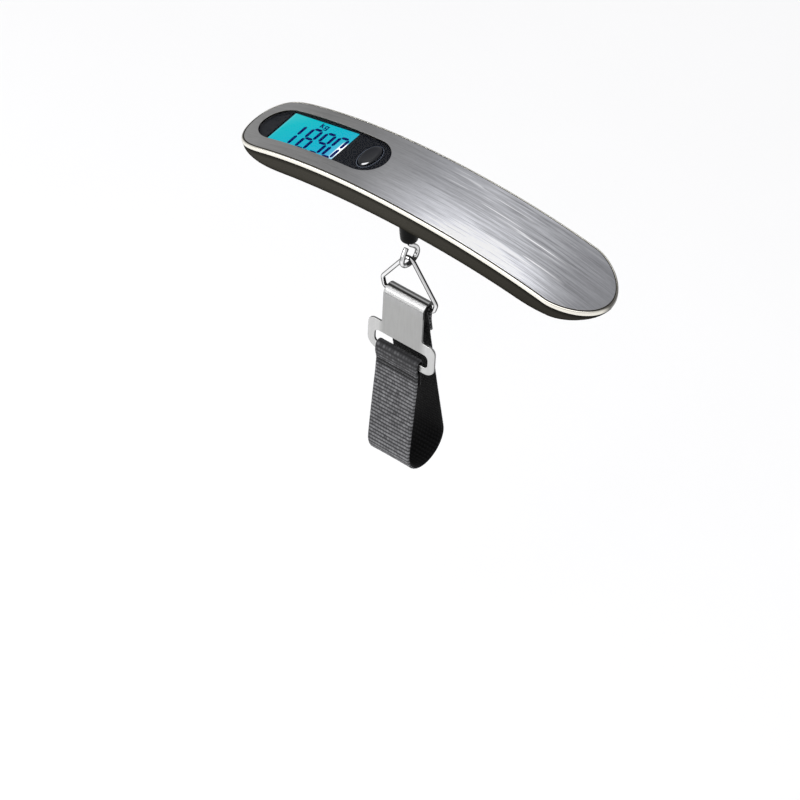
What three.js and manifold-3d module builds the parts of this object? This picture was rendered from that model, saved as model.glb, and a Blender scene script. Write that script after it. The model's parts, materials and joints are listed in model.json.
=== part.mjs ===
// Digital luggage scale with a hook, a wire triangle, a hook buckle and a webbing loop.
//
// Millimetres. +X runs along the body from the display end to the plain end, +Y away from
// the user across the body, +Z up. Pieces are laid out from the top of the steel cover at
// mid-length, where the arch is highest; the whole group is then raised by LOOP_DEPTH.

import * as THREE from "three";
import { mergeVertices } from "three/addons/utils/BufferGeometryUtils.js";
import Module from "manifold-3d";

const wasm = await Module();
wasm.setup();
const radians = THREE.MathUtils.degToRad;

// ---------------------------------------------------------------- driving dimensions
const LENGTH = 165; // body, end to end
const HALF = LENGTH / 2;
const ARCH = [9.388, -1.171, 1.905]; // drop at ARCH_SPAN: 2nd, 3rd and 4th power terms
const ARCH_SPAN = 80;
const HALF_WIDTH = 16.437; // body half-width at mid-length
const WIDTH_TAPER = [0.03785, -0.02304]; // 1st and 2nd power terms along the body
const END_LEFT = { length: 20.147, power: 4.0 }; // rounded display end
const END_RIGHT = { length: 18.376, power: 1.6 }; // rounded plain end
const RIM = 2.0; // height of the cover's rim
const SHEET = 0.6; // cover sheet thickness
const GAP = 0.3; // assembly gap between neighbouring pieces

const HULL = [17.25, -0.23, -1.16, 2.71, -0.75]; // depth below the rim: powers 0 to 4
const HULL_LEFT = { length: 16.06, power: 1.37 };
const HULL_RIGHT = { length: 28.2, power: 1.3 };
const KEEL_EASE = 7; // half-length over which the keel line is eased
const HULL_POWER = 2.3; // superellipse power of the hull's section
const CASING_INSET = 0.4; // casing inside the cover's outline
const SHELL = 1.5; // casing wall

const WINDOW = { x: -48.95, y: 0.6, straight: 39.3, r: 9.3 };
const LENS = { top: 0.15, bottom: 0.75 }; // depths below the arch
const BEZEL = { r: 10.8, top: LENS.bottom + GAP, bottom: 2.1 };
const LCD = { x0: -69.8, x1: -39.0, y0: -8.6, y1: 9.6, z: -1.1 }; // bezel opening, glass top
const LCD_TILT = radians(12.05);
const BUTTON = { x: -27.6, y: 0.8, rx: 3.3, ry: 6.1 };

const HOOK_X = -8.8; // axis of the spindle, the hook and the triangle
const COLLAR = { r: 4.05, top: -15.9, tip: -31.3 };
const BAR_Z = -63.6; // triangle's base bar
const RING_WIRE = 0.9; // triangle wire radius
const BEAM = { x0: -14, x1: 31, y: 5, z0: -12.5, z1: -6.5 }; // load cell
const CELL = { x: 44, r: 10, t: 3.2, z: -14.6 }; // coin cell, 20 x 3.2
const LOOP_DEPTH = 147.794; // level of the webbing loop's bottom below the cover's top

// Screw places. seat: top of the head's recess; top: casing post; post: frame post radius.
const CASE_SCREWS = [
  { x: 64, y: 0, seat: -18.1, top: -16.5, post: 2.75 },
  { x: -15.5, y: 9.8, seat: -12.6, top: -11.1, post: 2.4 },
  { x: -15.5, y: -9.8, seat: -12.6, top: -11.1, post: 2.4 },
];
const LOAD_SCREWS = [20, 27]; // x
const BOARD_SCREWS = [
  [-35.2, -6.4],
  [-35.2, 7.6],
]; // x, y

// ---------------------------------------------------------------- body surfaces
const clamp01 = (t) => Math.min(1, Math.max(0, t));
// How far x lies into an end of the given length: 0 where the end begins, 1 at its tip.
const intoLeft = (x, length) => clamp01((-HALF + length - x) / length);
const intoRight = (x, length) => clamp01((x - HALF + length) / length);

const zTop = (x) => {
  const u = x / ARCH_SPAN;
  return -(ARCH[0] * u ** 2 + ARCH[1] * u ** 3 + ARCH[2] * u ** 4);
};
const slopeAt = (x) => (zTop(x + 0.05) - zTop(x - 0.05)) / 0.1;

const halfWidth = (x) => {
  const u = x / HALF;
  const left = 1 - intoLeft(x, END_LEFT.length) ** END_LEFT.power;
  const right = 1 - intoRight(x, END_RIGHT.length) ** END_RIGHT.power;
  const taper = 1 + WIDTH_TAPER[0] * u + WIDTH_TAPER[1] * u * u;
  return HALF_WIDTH * taper * Math.sqrt(left * right);
};

const rawDepth = (x) => {
  const base = HULL.reduce((sum, c, k) => sum + c * (x / HALF) ** k, 0);
  const left = 1 - intoLeft(x, HULL_LEFT.length) ** HULL_LEFT.power;
  const right = 1 - intoRight(x, HULL_RIGHT.length) ** HULL_RIGHT.power;
  return base * left ** (1 / HULL_LEFT.power) * right ** (1 / HULL_RIGHT.power);
};
// The keel line is eased where the ends begin, by a weighted average over a short window.
const hullDepth = (x) => {
  const reach = Math.min(KEEL_EASE, HALF - Math.abs(x));
  let sum = 0;
  for (let k = -3; k <= 3; k++) sum += (4 - Math.abs(k)) * rawDepth(x + (reach * k) / 3);
  return sum / 16;
};

// A plan is { lo, hi, y, halfAt }: its ends in x, its centre line and its half-width at x.

// The body's plan outline moved inwards.
function outline(inset) {
  const n = 400;
  const edge = [];
  for (let i = 0; i <= n; i++) {
    const x = -HALF * Math.cos((Math.PI * i) / n);
    edge.push([x, i === 0 || i === n ? 0 : halfWidth(x)]);
  }
  const moved = edge.map(([x, y], i) => {
    const before = edge[Math.max(0, i - 1)];
    const after = edge[Math.min(n, i + 1)];
    let dx = after[0] - before[0];
    let dy = after[1] - before[1];
    if (i === 0) [dx, dy] = [0, 1];
    if (i === n) [dx, dy] = [0, -1];
    const run = Math.hypot(dx, dy);
    return [x + (inset * dy) / run, y - (inset * dx) / run];
  });
  const halfAt = (x) => {
    let k = 0;
    while (k < n && moved[k + 1][0] < x) k++;
    if (k >= n) return 0;
    const [xa, ya] = moved[k];
    const [xb, yb] = moved[k + 1];
    const part = clamp01((x - xa) / Math.max(1e-9, xb - xa));
    return Math.max(0, ya + part * (yb - ya));
  };
  return { lo: -HALF + inset, hi: HALF - inset, y: 0, halfAt };
}

// The window's stadium with end circles of another radius.
const windowPlan = (radius) => ({
  lo: WINDOW.x - WINDOW.straight / 2 - radius,
  hi: WINDOW.x + WINDOW.straight / 2 + radius,
  y: WINDOW.y,
  halfAt: (x) => {
    const past = Math.max(0, Math.abs(x - WINDOW.x) - WINDOW.straight / 2);
    return Math.sqrt(Math.max(0, radius * radius - past * past));
  },
});

// Section places along x, closer together near the ends and just short of them.
const stations = ({ lo, hi }, n) => {
  const inner = Array.from({ length: n - 1 }, (_, i) => i + 1);
  return [0.35, ...inner, n - 0.35].map(
    (k) => (lo + hi) / 2 - ((hi - lo) / 2) * Math.cos((Math.PI * k) / n),
  );
};

// ---------------------------------------------------------------- solids
function solid(geometry) {
  geometry.deleteAttribute("normal");
  geometry.deleteAttribute("uv");
  const merged = mergeVertices(geometry, 1e-4);
  const make = (flip) => {
    const triVerts = new Uint32Array(merged.index.array);
    if (flip)
      for (let i = 0; i < triVerts.length; i += 3)
        [triVerts[i + 1], triVerts[i + 2]] = [triVerts[i + 2], triVerts[i + 1]];
    const vertProperties = new Float32Array(merged.attributes.position.array);
    return new wasm.Manifold(new wasm.Mesh({ numProp: 3, vertProperties, triVerts }));
  };
  const made = make(false);
  return made.volume() < 0 ? make(true) : made;
}
const join = (first, ...rest) => rest.reduce((a, b) => a.add(b), first);
const cut = (first, ...rest) => rest.reduce((a, b) => a.subtract(b), first);

function geometryOf(piece) {
  const mesh = piece.getMesh();
  const geometry = new THREE.BufferGeometry();
  const positions = new Float32Array(mesh.vertProperties);
  geometry.setAttribute("position", new THREE.BufferAttribute(positions, 3));
  geometry.setIndex(new THREE.BufferAttribute(new Uint32Array(mesh.triVerts), 1));
  const flat = geometry.toNonIndexed();
  flat.computeVertexNormals();
  return flat;
}

// Rings of equal length, each at one x, joined into a closed skin with flat ends.
function loft(rings) {
  const m = rings[0].length;
  const index = [];
  for (let i = 0; i + 1 < rings.length; i++)
    for (let j = 0; j < m; j++) {
      const a = i * m + j;
      const b = i * m + ((j + 1) % m);
      index.push(a, b, b + m, a, b + m, a + m);
    }
  const cap = (ring, base, flip) => {
    const contour = ring.map(([, y, z]) => new THREE.Vector2(y, z));
    for (const face of THREE.ShapeUtils.triangulateShape(contour, [])) {
      const [a, b, c] = face.map((k) => base + k);
      index.push(...(flip ? [a, c, b] : [a, b, c]));
    }
  };
  cap(rings[0], 0, true);
  cap(rings.at(-1), (rings.length - 1) * m, false);
  const geometry = new THREE.BufferGeometry();
  geometry.setAttribute("position", new THREE.Float32BufferAttribute(rings.flat(2), 3));
  geometry.setIndex(index);
  return solid(geometry);
}

// A slab that follows the arch, between two depths below the top surface.
const slab = (plan, top, bottom, n) =>
  loft(
    stations(plan, n).map((x) => {
      const half = plan.halfAt(x);
      const upperZ = zTop(x) - top;
      const lowerZ = zTop(x) - bottom;
      return [
        [x, plan.y - half, upperZ],
        [x, plan.y - half, lowerZ],
        [x, plan.y + half, lowerZ],
        [x, plan.y + half, upperZ],
      ];
    }),
  );

// The boat-shaped body of the casing, its top following the arch at depth `lid`.
function hull(plan, thinner, lid) {
  const sides = 12;
  const limit = HALF - 0.6; // keeps the depth from vanishing at the tips
  const bulge = (v) => Math.sign(v) * Math.abs(v) ** (2 / HULL_POWER);
  return loft(
    stations(plan, 24).map((x) => {
      const half = plan.halfAt(x);
      const depth = Math.max(0.4, hullDepth(Math.max(-limit, Math.min(limit, x))) - thinner);
      const lidZ = zTop(x) - lid;
      const ring = [[x, -half, lidZ]];
      for (let k = 0; k <= sides; k++) {
        const angle = Math.PI * (1 - k / sides);
        const z = zTop(x) - RIM - depth * bulge(Math.sin(angle));
        ring.push([x, half * bulge(Math.cos(angle)), Math.min(lidZ - 0.02, z)]);
      }
      ring.push([x, half, lidZ]);
      return ring;
    }),
  );
}

const cylinderGeometry = (radius, z0, z1, x, y, segments) =>
  new THREE.CylinderGeometry(radius, radius, z1 - z0, segments)
    .rotateX(Math.PI / 2)
    .translate(x, y, (z0 + z1) / 2);
const cylinder = (...sizes) => solid(cylinderGeometry(...sizes));
const ellipse = (rx, ry, z0, z1, x = 0, y = 0) =>
  solid(
    new THREE.CylinderGeometry(1, 1, z1 - z0, 32)
      .rotateX(Math.PI / 2)
      .scale(rx, ry, 1)
      .translate(x, y, (z0 + z1) / 2),
  );
const box = (x0, x1, y0, y1, z0, z1) =>
  solid(
    new THREE.BoxGeometry(x1 - x0, y1 - y0, z1 - z0).translate(
      (x0 + x1) / 2,
      (y0 + y1) / 2,
      (z0 + z1) / 2,
    ),
  );
// A box given by its centre and half-sizes in plan.
const block = (x, y, halfX, halfY, z0, z1) =>
  box(x - halfX, x + halfX, y - halfY, y + halfY, z0, z1);

const vectors = (points) => points.map(([a, b]) => new THREE.Vector2(a, b));
const polygon = (points) => new THREE.Shape(vectors(points));
// A profile of [radius, z] turned about Z.
const turned = (profile, segments) =>
  new THREE.LatheGeometry(vectors(profile), segments).rotateX(Math.PI / 2);

const extruded = (shape, depth, curveSegments) =>
  new THREE.ExtrudeGeometry(shape, { depth, bevelEnabled: false, curveSegments });
// A plan shape raised from z0 to z1.
const raise = (shape, z0, z1, segments) =>
  solid(extruded(shape, z1 - z0, segments).translate(0, 0, z0));
// A shape drawn in (x, z), given thickness from y0 to y1.
const standUp = (shape, y0, y1, segments) =>
  solid(extruded(shape, y1 - y0, segments).rotateX(Math.PI / 2).translate(0, y1, 0));
// A shape drawn in (y, z), given length from x0 to x1.
const YZ_TO_X = new THREE.Matrix4().set(0, 0, 1, 0, 1, 0, 0, 0, 0, 1, 0, 0, 0, 0, 0, 1);
const sideways = (shape, x0, x1, segments) =>
  solid(extruded(shape, x1 - x0, segments).applyMatrix4(YZ_TO_X).translate(x0, 0, 0));

const roundedRect = (x0, y0, x1, y1, r) => {
  const quarter = Math.PI / 2;
  const shape = new THREE.Shape();
  shape.moveTo(x0 + r, y0);
  shape.lineTo(x1 - r, y0);
  shape.absarc(x1 - r, y0 + r, r, -quarter, 0, false);
  shape.lineTo(x1, y1 - r);
  shape.absarc(x1 - r, y1 - r, r, 0, quarter, false);
  shape.lineTo(x0 + r, y1);
  shape.absarc(x0 + r, y1 - r, r, quarter, Math.PI, false);
  shape.lineTo(x0, y0 + r);
  shape.absarc(x0 + r, y0 + r, r, Math.PI, 3 * quarter, false);
  return shape;
};

const regularPolygon = (sides, radius, x = 0) =>
  polygon(
    Array.from({ length: sides }, (_, i) => {
      const angle = (2 * Math.PI * i) / sides;
      return [x + radius * Math.cos(angle), radius * Math.sin(angle)];
    }),
  );

// Points on an arc in (y, z), between two angles in degrees.
const arc = ({ y, z }, radius, from, to, steps) =>
  Array.from({ length: steps + 1 }, (_, i) => {
    const angle = radians(from + ((to - from) * i) / steps);
    return [y + radius * Math.cos(angle), z + radius * Math.sin(angle)];
  });

// Round wire along a path of points.
function wire(points, radius, steps, sides, tension = 0.5) {
  const extrudePath = new THREE.CatmullRomCurve3(
    points.map((p) => new THREE.Vector3(...p)),
    false,
    "catmullrom",
    tension,
  );
  return solid(new THREE.ExtrudeGeometry(regularPolygon(sides, radius), { steps, extrudePath }));
}

// A polyline's points with each inner corner rounded to its radius.
function rounded(points, radii) {
  const steps = 5;
  const out = [points[0]];
  for (let i = 1; i + 1 < points.length; i++) {
    const corner = new THREE.Vector3(...points[i]);
    const back = new THREE.Vector3(...points[i - 1]).sub(corner);
    const ahead = new THREE.Vector3(...points[i + 1]).sub(corner);
    const half = back.angleTo(ahead) / 2;
    const run = Math.min(
      radii[i] / Math.tan(half),
      0.49 * back.length(),
      0.49 * ahead.length(),
    );
    back.normalize();
    ahead.normalize();
    const radius = run * Math.tan(half);
    const middle = back.clone().add(ahead).normalize();
    const centre = corner.clone().addScaledVector(middle, radius / Math.sin(half));
    const start = corner.clone().addScaledVector(back, run).sub(centre);
    const end = corner.clone().addScaledVector(ahead, run).sub(centre);
    const whole = start.angleTo(end);
    for (let k = 0; k <= steps; k++) {
      const part = k / steps;
      const point = start
        .clone()
        .multiplyScalar(Math.sin((1 - part) * whole) / Math.sin(whole))
        .addScaledVector(end, Math.sin(part * whole) / Math.sin(whole))
        .add(centre);
      out.push(point.toArray());
    }
  }
  out.push(points.at(-1));
  return out;
}

// ---------------------------------------------------------------- materials
// Metalness is 0 where it isn't given.
const FINISH = {
  steelBrushed: { color: 0x9a9ba0, roughness: 0.38, metalness: 1 },
  steelSatin: { color: 0xb5b5b3, roughness: 0.42, metalness: 1 },
  chrome: { color: 0xd8d8d8, roughness: 0.12, metalness: 1 },
  brass: { color: 0xb58a3c, roughness: 0.35, metalness: 1 },
  nutSteel: { color: 0xb8b8b8, roughness: 0.3, metalness: 1 },
  boardScrew: { color: 0xa9a9ac, roughness: 0.35, metalness: 1 },
  loadScrew: { color: 0x9a9a9a, roughness: 0.35, metalness: 1 },
  caseScrew: { color: 0x3a3a3c, roughness: 0.4, metalness: 1 },
  beam: { color: 0xb9bcc0, roughness: 0.35, metalness: 1 },
  cell: { color: 0xc4c6c8, roughness: 0.25, metalness: 1 },
  switchBody: { color: 0x2a2a2c, roughness: 0.4, metalness: 0.2 },
  plunger: { color: 0xd8d2c4, roughness: 0.5 },
  blackSatin: { color: 0x24221f, roughness: 0.5 },
  blackGloss: { color: 0x0c0d10, roughness: 0.12 },
  lens: { color: 0xffffff, roughness: 0.05, transparent: true, opacity: 0.3 },
  lcd: { color: 0x2bbccb, roughness: 0.15 },
  backlight: { color: 0xf2fbff, roughness: 0.4 },
  zebra: { color: 0xd9a0a8, roughness: 0.7 },
  board: { color: 0x1f6b3a, roughness: 0.45 },
  blob: { color: 0x0a0a0a, roughness: 0.3 },
  gauge: { color: 0xc08040, roughness: 0.6 },
  holder: { color: 0x1b1b1d, roughness: 0.6 },
  leadRed: { color: 0xb01818, roughness: 0.5 },
  leadBlack: { color: 0x101010, roughness: 0.5 },
  leadGrey: { color: 0xcfcfcf, roughness: 0.6 },
  collar: { color: 0x121212, roughness: 0.3 },
  webbingDark: { color: 0x2b2b2d, roughness: 0.9 },
  webbingGrey: { color: 0x5a5a5c, roughness: 0.9 },
};

// ---------------------------------------------------------------- groups
const scale = new THREE.Group();
const upper = new THREE.Group(); // the hand-held body
const display = new THREE.Group(); // tilted with the chord of the arch over the display
const keys = new THREE.Group(); // square to the cover at the button
const hanging = new THREE.Group(); // hook and everything on it
const buckle = new THREE.Group(); // origin on the triangle's base bar
scale.add(upper, hanging);
scale.position.z = LOOP_DEPTH;
upper.add(display, keys);
display.position.set((LCD.x0 + LCD.x1) / 2, 0, (zTop(LCD.x0) + zTop(LCD.x1)) / 2);
display.rotation.y = -LCD_TILT;
display.updateMatrix();
keys.position.set(BUTTON.x, BUTTON.y, zTop(BUTTON.x));
keys.rotation.y = -Math.atan(slopeAt(BUTTON.x));

function add(group, name, piece, finish) {
  const mesh = new THREE.Mesh(geometryOf(piece), new THREE.MeshStandardMaterial(finish));
  mesh.name = name;
  group.add(mesh);
}

// ---------------------------------------------------------------- steel cover
const steelCover = () =>
  cut(
    slab(outline(0), 0, RIM, 32),
    slab(outline(SHEET), SHEET, RIM + 2, 32),
    slab(windowPlan(WINDOW.r), -2, SHEET + 1, 22),
  );
add(upper, "steel_top_cover", steelCover(), FINISH.steelBrushed);

// ---------------------------------------------------------------- inner frame
const BORE = 1.4; // casing screw bore radius
const FRAME_INSET = 0.9;
const SKIRT = { outer: 2.4, inner: 3.6, bottom: 3.8, halfLength: 71 }; // insets, depth

function upperFrame() {
  const skirt = cut(
    slab(outline(SKIRT.outer), RIM - 0.4, SKIRT.bottom, 26),
    slab(outline(SKIRT.inner), RIM - 1, SKIRT.bottom + 0.8, 26),
  ).intersect(box(-SKIRT.halfLength, SKIRT.halfLength, -30, 30, -30, 30));
  let frame = cut(
    join(slab(outline(FRAME_INSET), SHEET + GAP, RIM, 30), skirt),
    slab(windowPlan(BEZEL.r + GAP), -2, 6, 22),
  );
  for (const { x, y, top, post } of CASE_SCREWS) {
    frame = join(frame, cylinder(post, top + GAP, zTop(x) - 1.4, x, y, 16));
    frame = cut(frame, cylinder(BORE, top - 1, zTop(x) - 3.4, x, y, 12));
  }
  return frame;
}
add(upper, "upper_frame", upperFrame(), FINISH.blackSatin);

// ---------------------------------------------------------------- lower casing
const BELOW = -30; // a level clear below the casing, where posts and cutters start
const DOOR = { x0: CELL.x - 13, x1: CELL.x + 13, y: 10.6, r: 3 }; // battery cover opening
const PEDESTAL = { x0: 16.5, x1: 29.8, y: 4, z0: -19.2 }; // under the beam's fixed end

const casingOutside = hull(outline(CASING_INSET), 0, RIM + GAP);
const casingSkin = cut(casingOutside, hull(outline(CASING_INSET + SHELL), SHELL, -1));

const doorOpening = (inset) => {
  const y = DOOR.y - inset;
  const shape = roundedRect(DOOR.x0 + inset, -y, DOOR.x1 - inset, y, DOOR.r - inset);
  return raise(shape, BELOW, -13, 4);
};

function lowerCasing() {
  const { x0, x1, y: half, z0 } = PEDESTAL;
  let casing = join(
    cut(casingSkin, doorOpening(0)),
    box(x0, x1, -half, half, z0, BEAM.z0 - GAP).intersect(casingOutside),
  );
  for (const x of LOAD_SCREWS) casing = cut(casing, cylinder(1.5, -17.4, -10, x, 0, 12));
  for (const { x, y, seat, top } of CASE_SCREWS) {
    casing = join(casing, cylinder(3.9, BELOW, top, x, y, 20).intersect(casingOutside));
    casing = cut(
      casing,
      cylinder(2.7, BELOW, seat, x, y, 18),
      cylinder(BORE, BELOW, top + 1, x, y, 12),
    );
  }
  return cut(casing, cylinder(COLLAR.r + GAP, BELOW, -10, HOOK_X, 0, 24));
}
add(upper, "lower_casing", lowerCasing(), FINISH.blackSatin);

// Cut from the same hull, with a stub that keeps the cell up and a latch tab.
function batteryCover() {
  const stub = cut(
    cylinder(7, -21.4, CELL.z - 0.5, CELL.x, 0, 24),
    cylinder(5.6, -20.2, CELL.z + 1, CELL.x, 0, 24),
  );
  const tab = box(32.2, 33.4, -3, 3, -21, -17.2);
  return join(
    casingSkin.intersect(doorOpening(GAP)),
    stub.intersect(casingOutside),
    tab.intersect(casingOutside),
  );
}
add(upper, "battery_cover", batteryCover(), FINISH.blackSatin);

// ---------------------------------------------------------------- lens and bezel
const buttonHole = ellipse(BUTTON.rx + GAP, BUTTON.ry + GAP, -20, 6, BUTTON.x, BUTTON.y);
const displayLens = () =>
  cut(slab(windowPlan(WINDOW.r - GAP), LENS.top, LENS.bottom, 20), buttonHole);
add(upper, "display_lens", displayLens(), FINISH.lens);

const BOARD_BORE = 1.1; // board screw bore radius, in the bezel's posts and the board
function displayBezel() {
  let bezel = cut(
    slab(windowPlan(BEZEL.r), BEZEL.top, BEZEL.bottom, 20),
    box(LCD.x0, LCD.x1, LCD.y0, LCD.y1, -30, 5),
    buttonHole,
  );
  for (const [x, y] of BOARD_SCREWS) {
    bezel = join(bezel, cylinder(1.8, -9.3, zTop(x) - 1.5, x, y, 12));
    bezel = cut(bezel, cylinder(BOARD_BORE, -12, zTop(x) - 3.2, x, y, 10));
  }
  return bezel;
}
add(upper, "display_bezel", displayBezel(), FINISH.blackGloss);

// ---------------------------------------------------------------- tilted display stack
const GLASS_HALF = (LCD.x1 - LCD.x0) / 2 / Math.cos(LCD_TILT) - 0.75;
const GLASS_BOTTOM = LCD.z - 1.6;
const UNDER_GLASS = GLASS_BOTTOM - GAP; // top of the pieces under the glass
const BACKLIGHT = { y1: 6.3, t: 1.8 };
const BOARD = { x0: -16.6, x1: 33.4, top: -8.0, t: 1.2 };
const BOARD_BOTTOM = BOARD.top - BOARD.t;
const SWITCH = { x: 26.35, half: 2.6, top: -6.0 }; // under the button
const BLOB = { x: 4, y: 0.5 };
const BLOB_PROFILE = [[0, -1.5], [2.4, -1.2], [4.2, -0.5], [4.6, 0], [0, 0]]; // radius, z

const glassY = [LCD.y0 + GAP, LCD.y1 - GAP];
const lcdGlass = box(-GLASS_HALF, GLASS_HALF, ...glassY, GLASS_BOTTOM, LCD.z);
add(display, "lcd_glass", lcdGlass, FINISH.lcd);
const backlight = box(
  -GLASS_HALF,
  GLASS_HALF,
  glassY[0],
  BACKLIGHT.y1,
  UNDER_GLASS - BACKLIGHT.t,
  UNDER_GLASS,
);
add(display, "backlight_panel", backlight, FINISH.backlight);
const zebra = box(-14, 14, 6.7, 8.9, BOARD.top + GAP, UNDER_GLASS);
add(display, "zebra_connector", zebra, FINISH.zebra);

// The screw holes stand upright in the body, so they are brought into the tilted frame.
function circuitBoard() {
  const intoDisplay = display.matrix.clone().invert();
  const holes = BOARD_SCREWS.map(([x, y]) =>
    solid(cylinderGeometry(BOARD_BORE, -20, 0, x, y, 10).applyMatrix4(intoDisplay)),
  );
  return cut(box(BOARD.x0, BOARD.x1, LCD.y0, LCD.y1, BOARD_BOTTOM, BOARD.top), ...holes);
}
add(display, "circuit_board", circuitBoard(), FINISH.board);
const blob = turned(BLOB_PROFILE, 16).translate(BLOB.x, BLOB.y, BOARD_BOTTOM - 0.2);
add(display, "controller_blob", solid(blob), FINISH.blob);

const switchBody = cut(
  block(SWITCH.x, BUTTON.y, SWITCH.half, SWITCH.half, BOARD.top + 0.2, SWITCH.top),
  cylinder(1.6, -7.1, -5, SWITCH.x, BUTTON.y, 16),
);
add(display, "tact_switch_body", switchBody, FINISH.switchBody);
const plunger = cylinder(1.25, -6.6, -5.2, SWITCH.x, BUTTON.y, 16);
add(display, "tact_switch_plunger", plunger, FINISH.plunger);

const boardScrew = ([x, y]) =>
  join(
    cylinder(0.8, -12, -6.4, x, y, 10),
    cut(cylinder(1.9, -12.8, -11.7, x, y, 16), block(x, y, 1.2, 0.2, -13.2, -12.3)),
  );
BOARD_SCREWS.forEach((place, i) =>
  add(upper, `board_screw_${i + 1}`, boardScrew(place), FINISH.boardScrew),
);

// ---------------------------------------------------------------- button
// Fraction of the cap's radii, z.
const CAP_PROFILE = [
  [0, -2.7], [1, -2.7], [1, -0.35], [0.94, 0.02],
  [0.84, 0.18], [0.6, 0.1], [0.3, 0.03], [0, 0],
];
const CAP_FLANGE = 1.1; // how far the flange stands out
const buttonCap = join(
  solid(turned(CAP_PROFILE, 24).scale(BUTTON.rx, BUTTON.ry, 1)),
  ellipse(BUTTON.rx + CAP_FLANGE, BUTTON.ry + CAP_FLANGE, -3.3, -2.5),
  cylinder(1.4, -3.4, -3, 0, 0, 12),
);
add(keys, "button_cap", buttonCap, FINISH.blackGloss);

// ---------------------------------------------------------------- load cell
const BONE = { x0: 2.5, x1: 12.5, r: 2.1, open: 0.6 }; // dog-bone opening through the beam
function loadCellBeam() {
  const middle = (BEAM.z0 + BEAM.z1) / 2;
  const bone = new THREE.Shape();
  bone.absarc(BONE.x0, middle, BONE.r, BONE.open, 2 * Math.PI - BONE.open, false);
  bone.absarc(BONE.x1, middle, BONE.r, Math.PI + BONE.open, 3 * Math.PI - BONE.open, false);
  return cut(
    box(BEAM.x0, BEAM.x1, -BEAM.y, BEAM.y, BEAM.z0, BEAM.z1),
    standUp(bone, -8, 8, 8),
    ...[HOOK_X, ...LOAD_SCREWS].map((x) => cylinder(1.6, -16, -2, x, 0, 16)),
  );
}
add(upper, "load_cell_beam", loadCellBeam(), FINISH.beam);

const GAUGE = { x0: -1.5, x1: 7, y: 2.6, t: 0.25, off: 0.2 }; // off: clear of the beam
for (const [side, z0] of [
  ["top", BEAM.z1 + GAUGE.off],
  ["bottom", BEAM.z0 - GAUGE.off - GAUGE.t],
]) {
  const gauge = box(GAUGE.x0, GAUGE.x1, -GAUGE.y, GAUGE.y, z0, z0 + GAUGE.t);
  add(upper, `strain_gauge_${side}`, gauge, FINISH.gauge);
}

// ---------------------------------------------------------------- load cell and casing screws
const crossSlot = (x, y, long, narrow, z0, z1) =>
  join(block(x, y, long, narrow, z0, z1), block(x, y, narrow, long, z0, z1));

const loadScrew = (x) =>
  cut(
    join(cylinder(1.2, -16.8, -5.5, x, 0, 12), cylinder(2.6, -6.2, -4.4, x, 0, 20)),
    crossSlot(x, 0, 1.6, 0.3, -5.2, -4),
  );
LOAD_SCREWS.forEach((x, i) =>
  add(upper, `load_cell_screw_${i + 1}`, loadScrew(x), FINISH.loadScrew),
);

// Driven from below, head down.
const caseScrew = ({ x, y, seat, top }) =>
  cut(
    join(
      cylinder(1.05, seat - 0.6, top + 6, x, y, 12),
      cylinder(2.35, seat - GAP - 1.7, seat - GAP, x, y, 20),
    ),
    crossSlot(x, y, 1.4, 0.25, seat - 3, seat - 1.2),
  );
CASE_SCREWS.forEach((screw, i) =>
  add(upper, `casing_screw_${i + 1}`, caseScrew(screw), FINISH.caseScrew),
);

// ---------------------------------------------------------------- battery
const CELL_TOP = CELL.z + CELL.t;
const HOLDER = { z0: CELL.z - 0.4, z1: CELL_TOP + 1.8, cutZ0: CELL.z - 2, cutZ1: CELL_TOP + 0.8 };

const batteryCell = join(
  cylinder(CELL.r, CELL.z, CELL_TOP - 0.5, CELL.x, 0, 28),
  cylinder(CELL.r - 1.2, CELL_TOP - 0.6, CELL_TOP, CELL.x, 0, 28),
);
add(upper, "battery_cell", batteryCell, FINISH.cell);

// A round cup with a pocket for the side contact.
const batteryHolder = cut(
  join(
    cylinder(CELL.r + 1.3, HOLDER.z0, HOLDER.z1, CELL.x, 0, 28),
    box(CELL.x + 9, CELL.x + 13, -4.6, 4.6, HOLDER.z0, HOLDER.z1),
  ),
  cylinder(CELL.r + 0.4, HOLDER.cutZ0, HOLDER.cutZ1, CELL.x, 0, 28),
  box(CELL.x + 8, CELL.x + 11.7, -3.4, 3.4, HOLDER.cutZ0, HOLDER.cutZ1),
);
add(upper, "battery_holder", batteryHolder, FINISH.holder);

const contactMinus = block(CELL.x, 0, 6, 2, CELL_TOP + 0.25, CELL_TOP + 0.55);
add(upper, "battery_contact_minus", contactMinus, FINISH.brass);
const contactX = CELL.x + CELL.r + 0.6;
const contactPlus = box(contactX, contactX + 0.35, -2.6, 2.6, CELL.z + 0.2, CELL_TOP + 0.3);
add(upper, "battery_contact_plus", contactPlus, FINISH.brass);

// ---------------------------------------------------------------- leads
// x, y, z; the battery leads run on both sides of the beam, mirrored in y.
const BATTERY_LEAD = [
  [34.5, 6.5, -9],
  [29, 7.6, -8],
  [14, 7.9, -7],
  [-2, 7.9, -6.2],
  [-10, 6.9, -6.2],
  [-19.2, 6.2, -7.2],
];
const GAUGE_LEAD = [
  [2.5, -3.6, -5.3],
  [-2.5, -5, -4.3],
  [-9, -5.1, -4.4],
  [-15, -3.5, -5.2],
  [-19.4, -2.2, -6.2],
];
const batteryLead = (side) => wire(BATTERY_LEAD.map(([x, y, z]) => [x, side * y, z]), 0.5, 22, 6);
add(upper, "battery_lead_red", batteryLead(1), FINISH.leadRed);
add(upper, "battery_lead_black", batteryLead(-1), FINISH.leadBlack);
add(upper, "gauge_lead_bundle", wire(GAUGE_LEAD, 0.7, 16, 6), FINISH.leadGrey);

// ---------------------------------------------------------------- collar
const COLLAR_BORE = 1.45;
const COLLAR_FLANGE = { r: 5.2, t: 1 };
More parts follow.
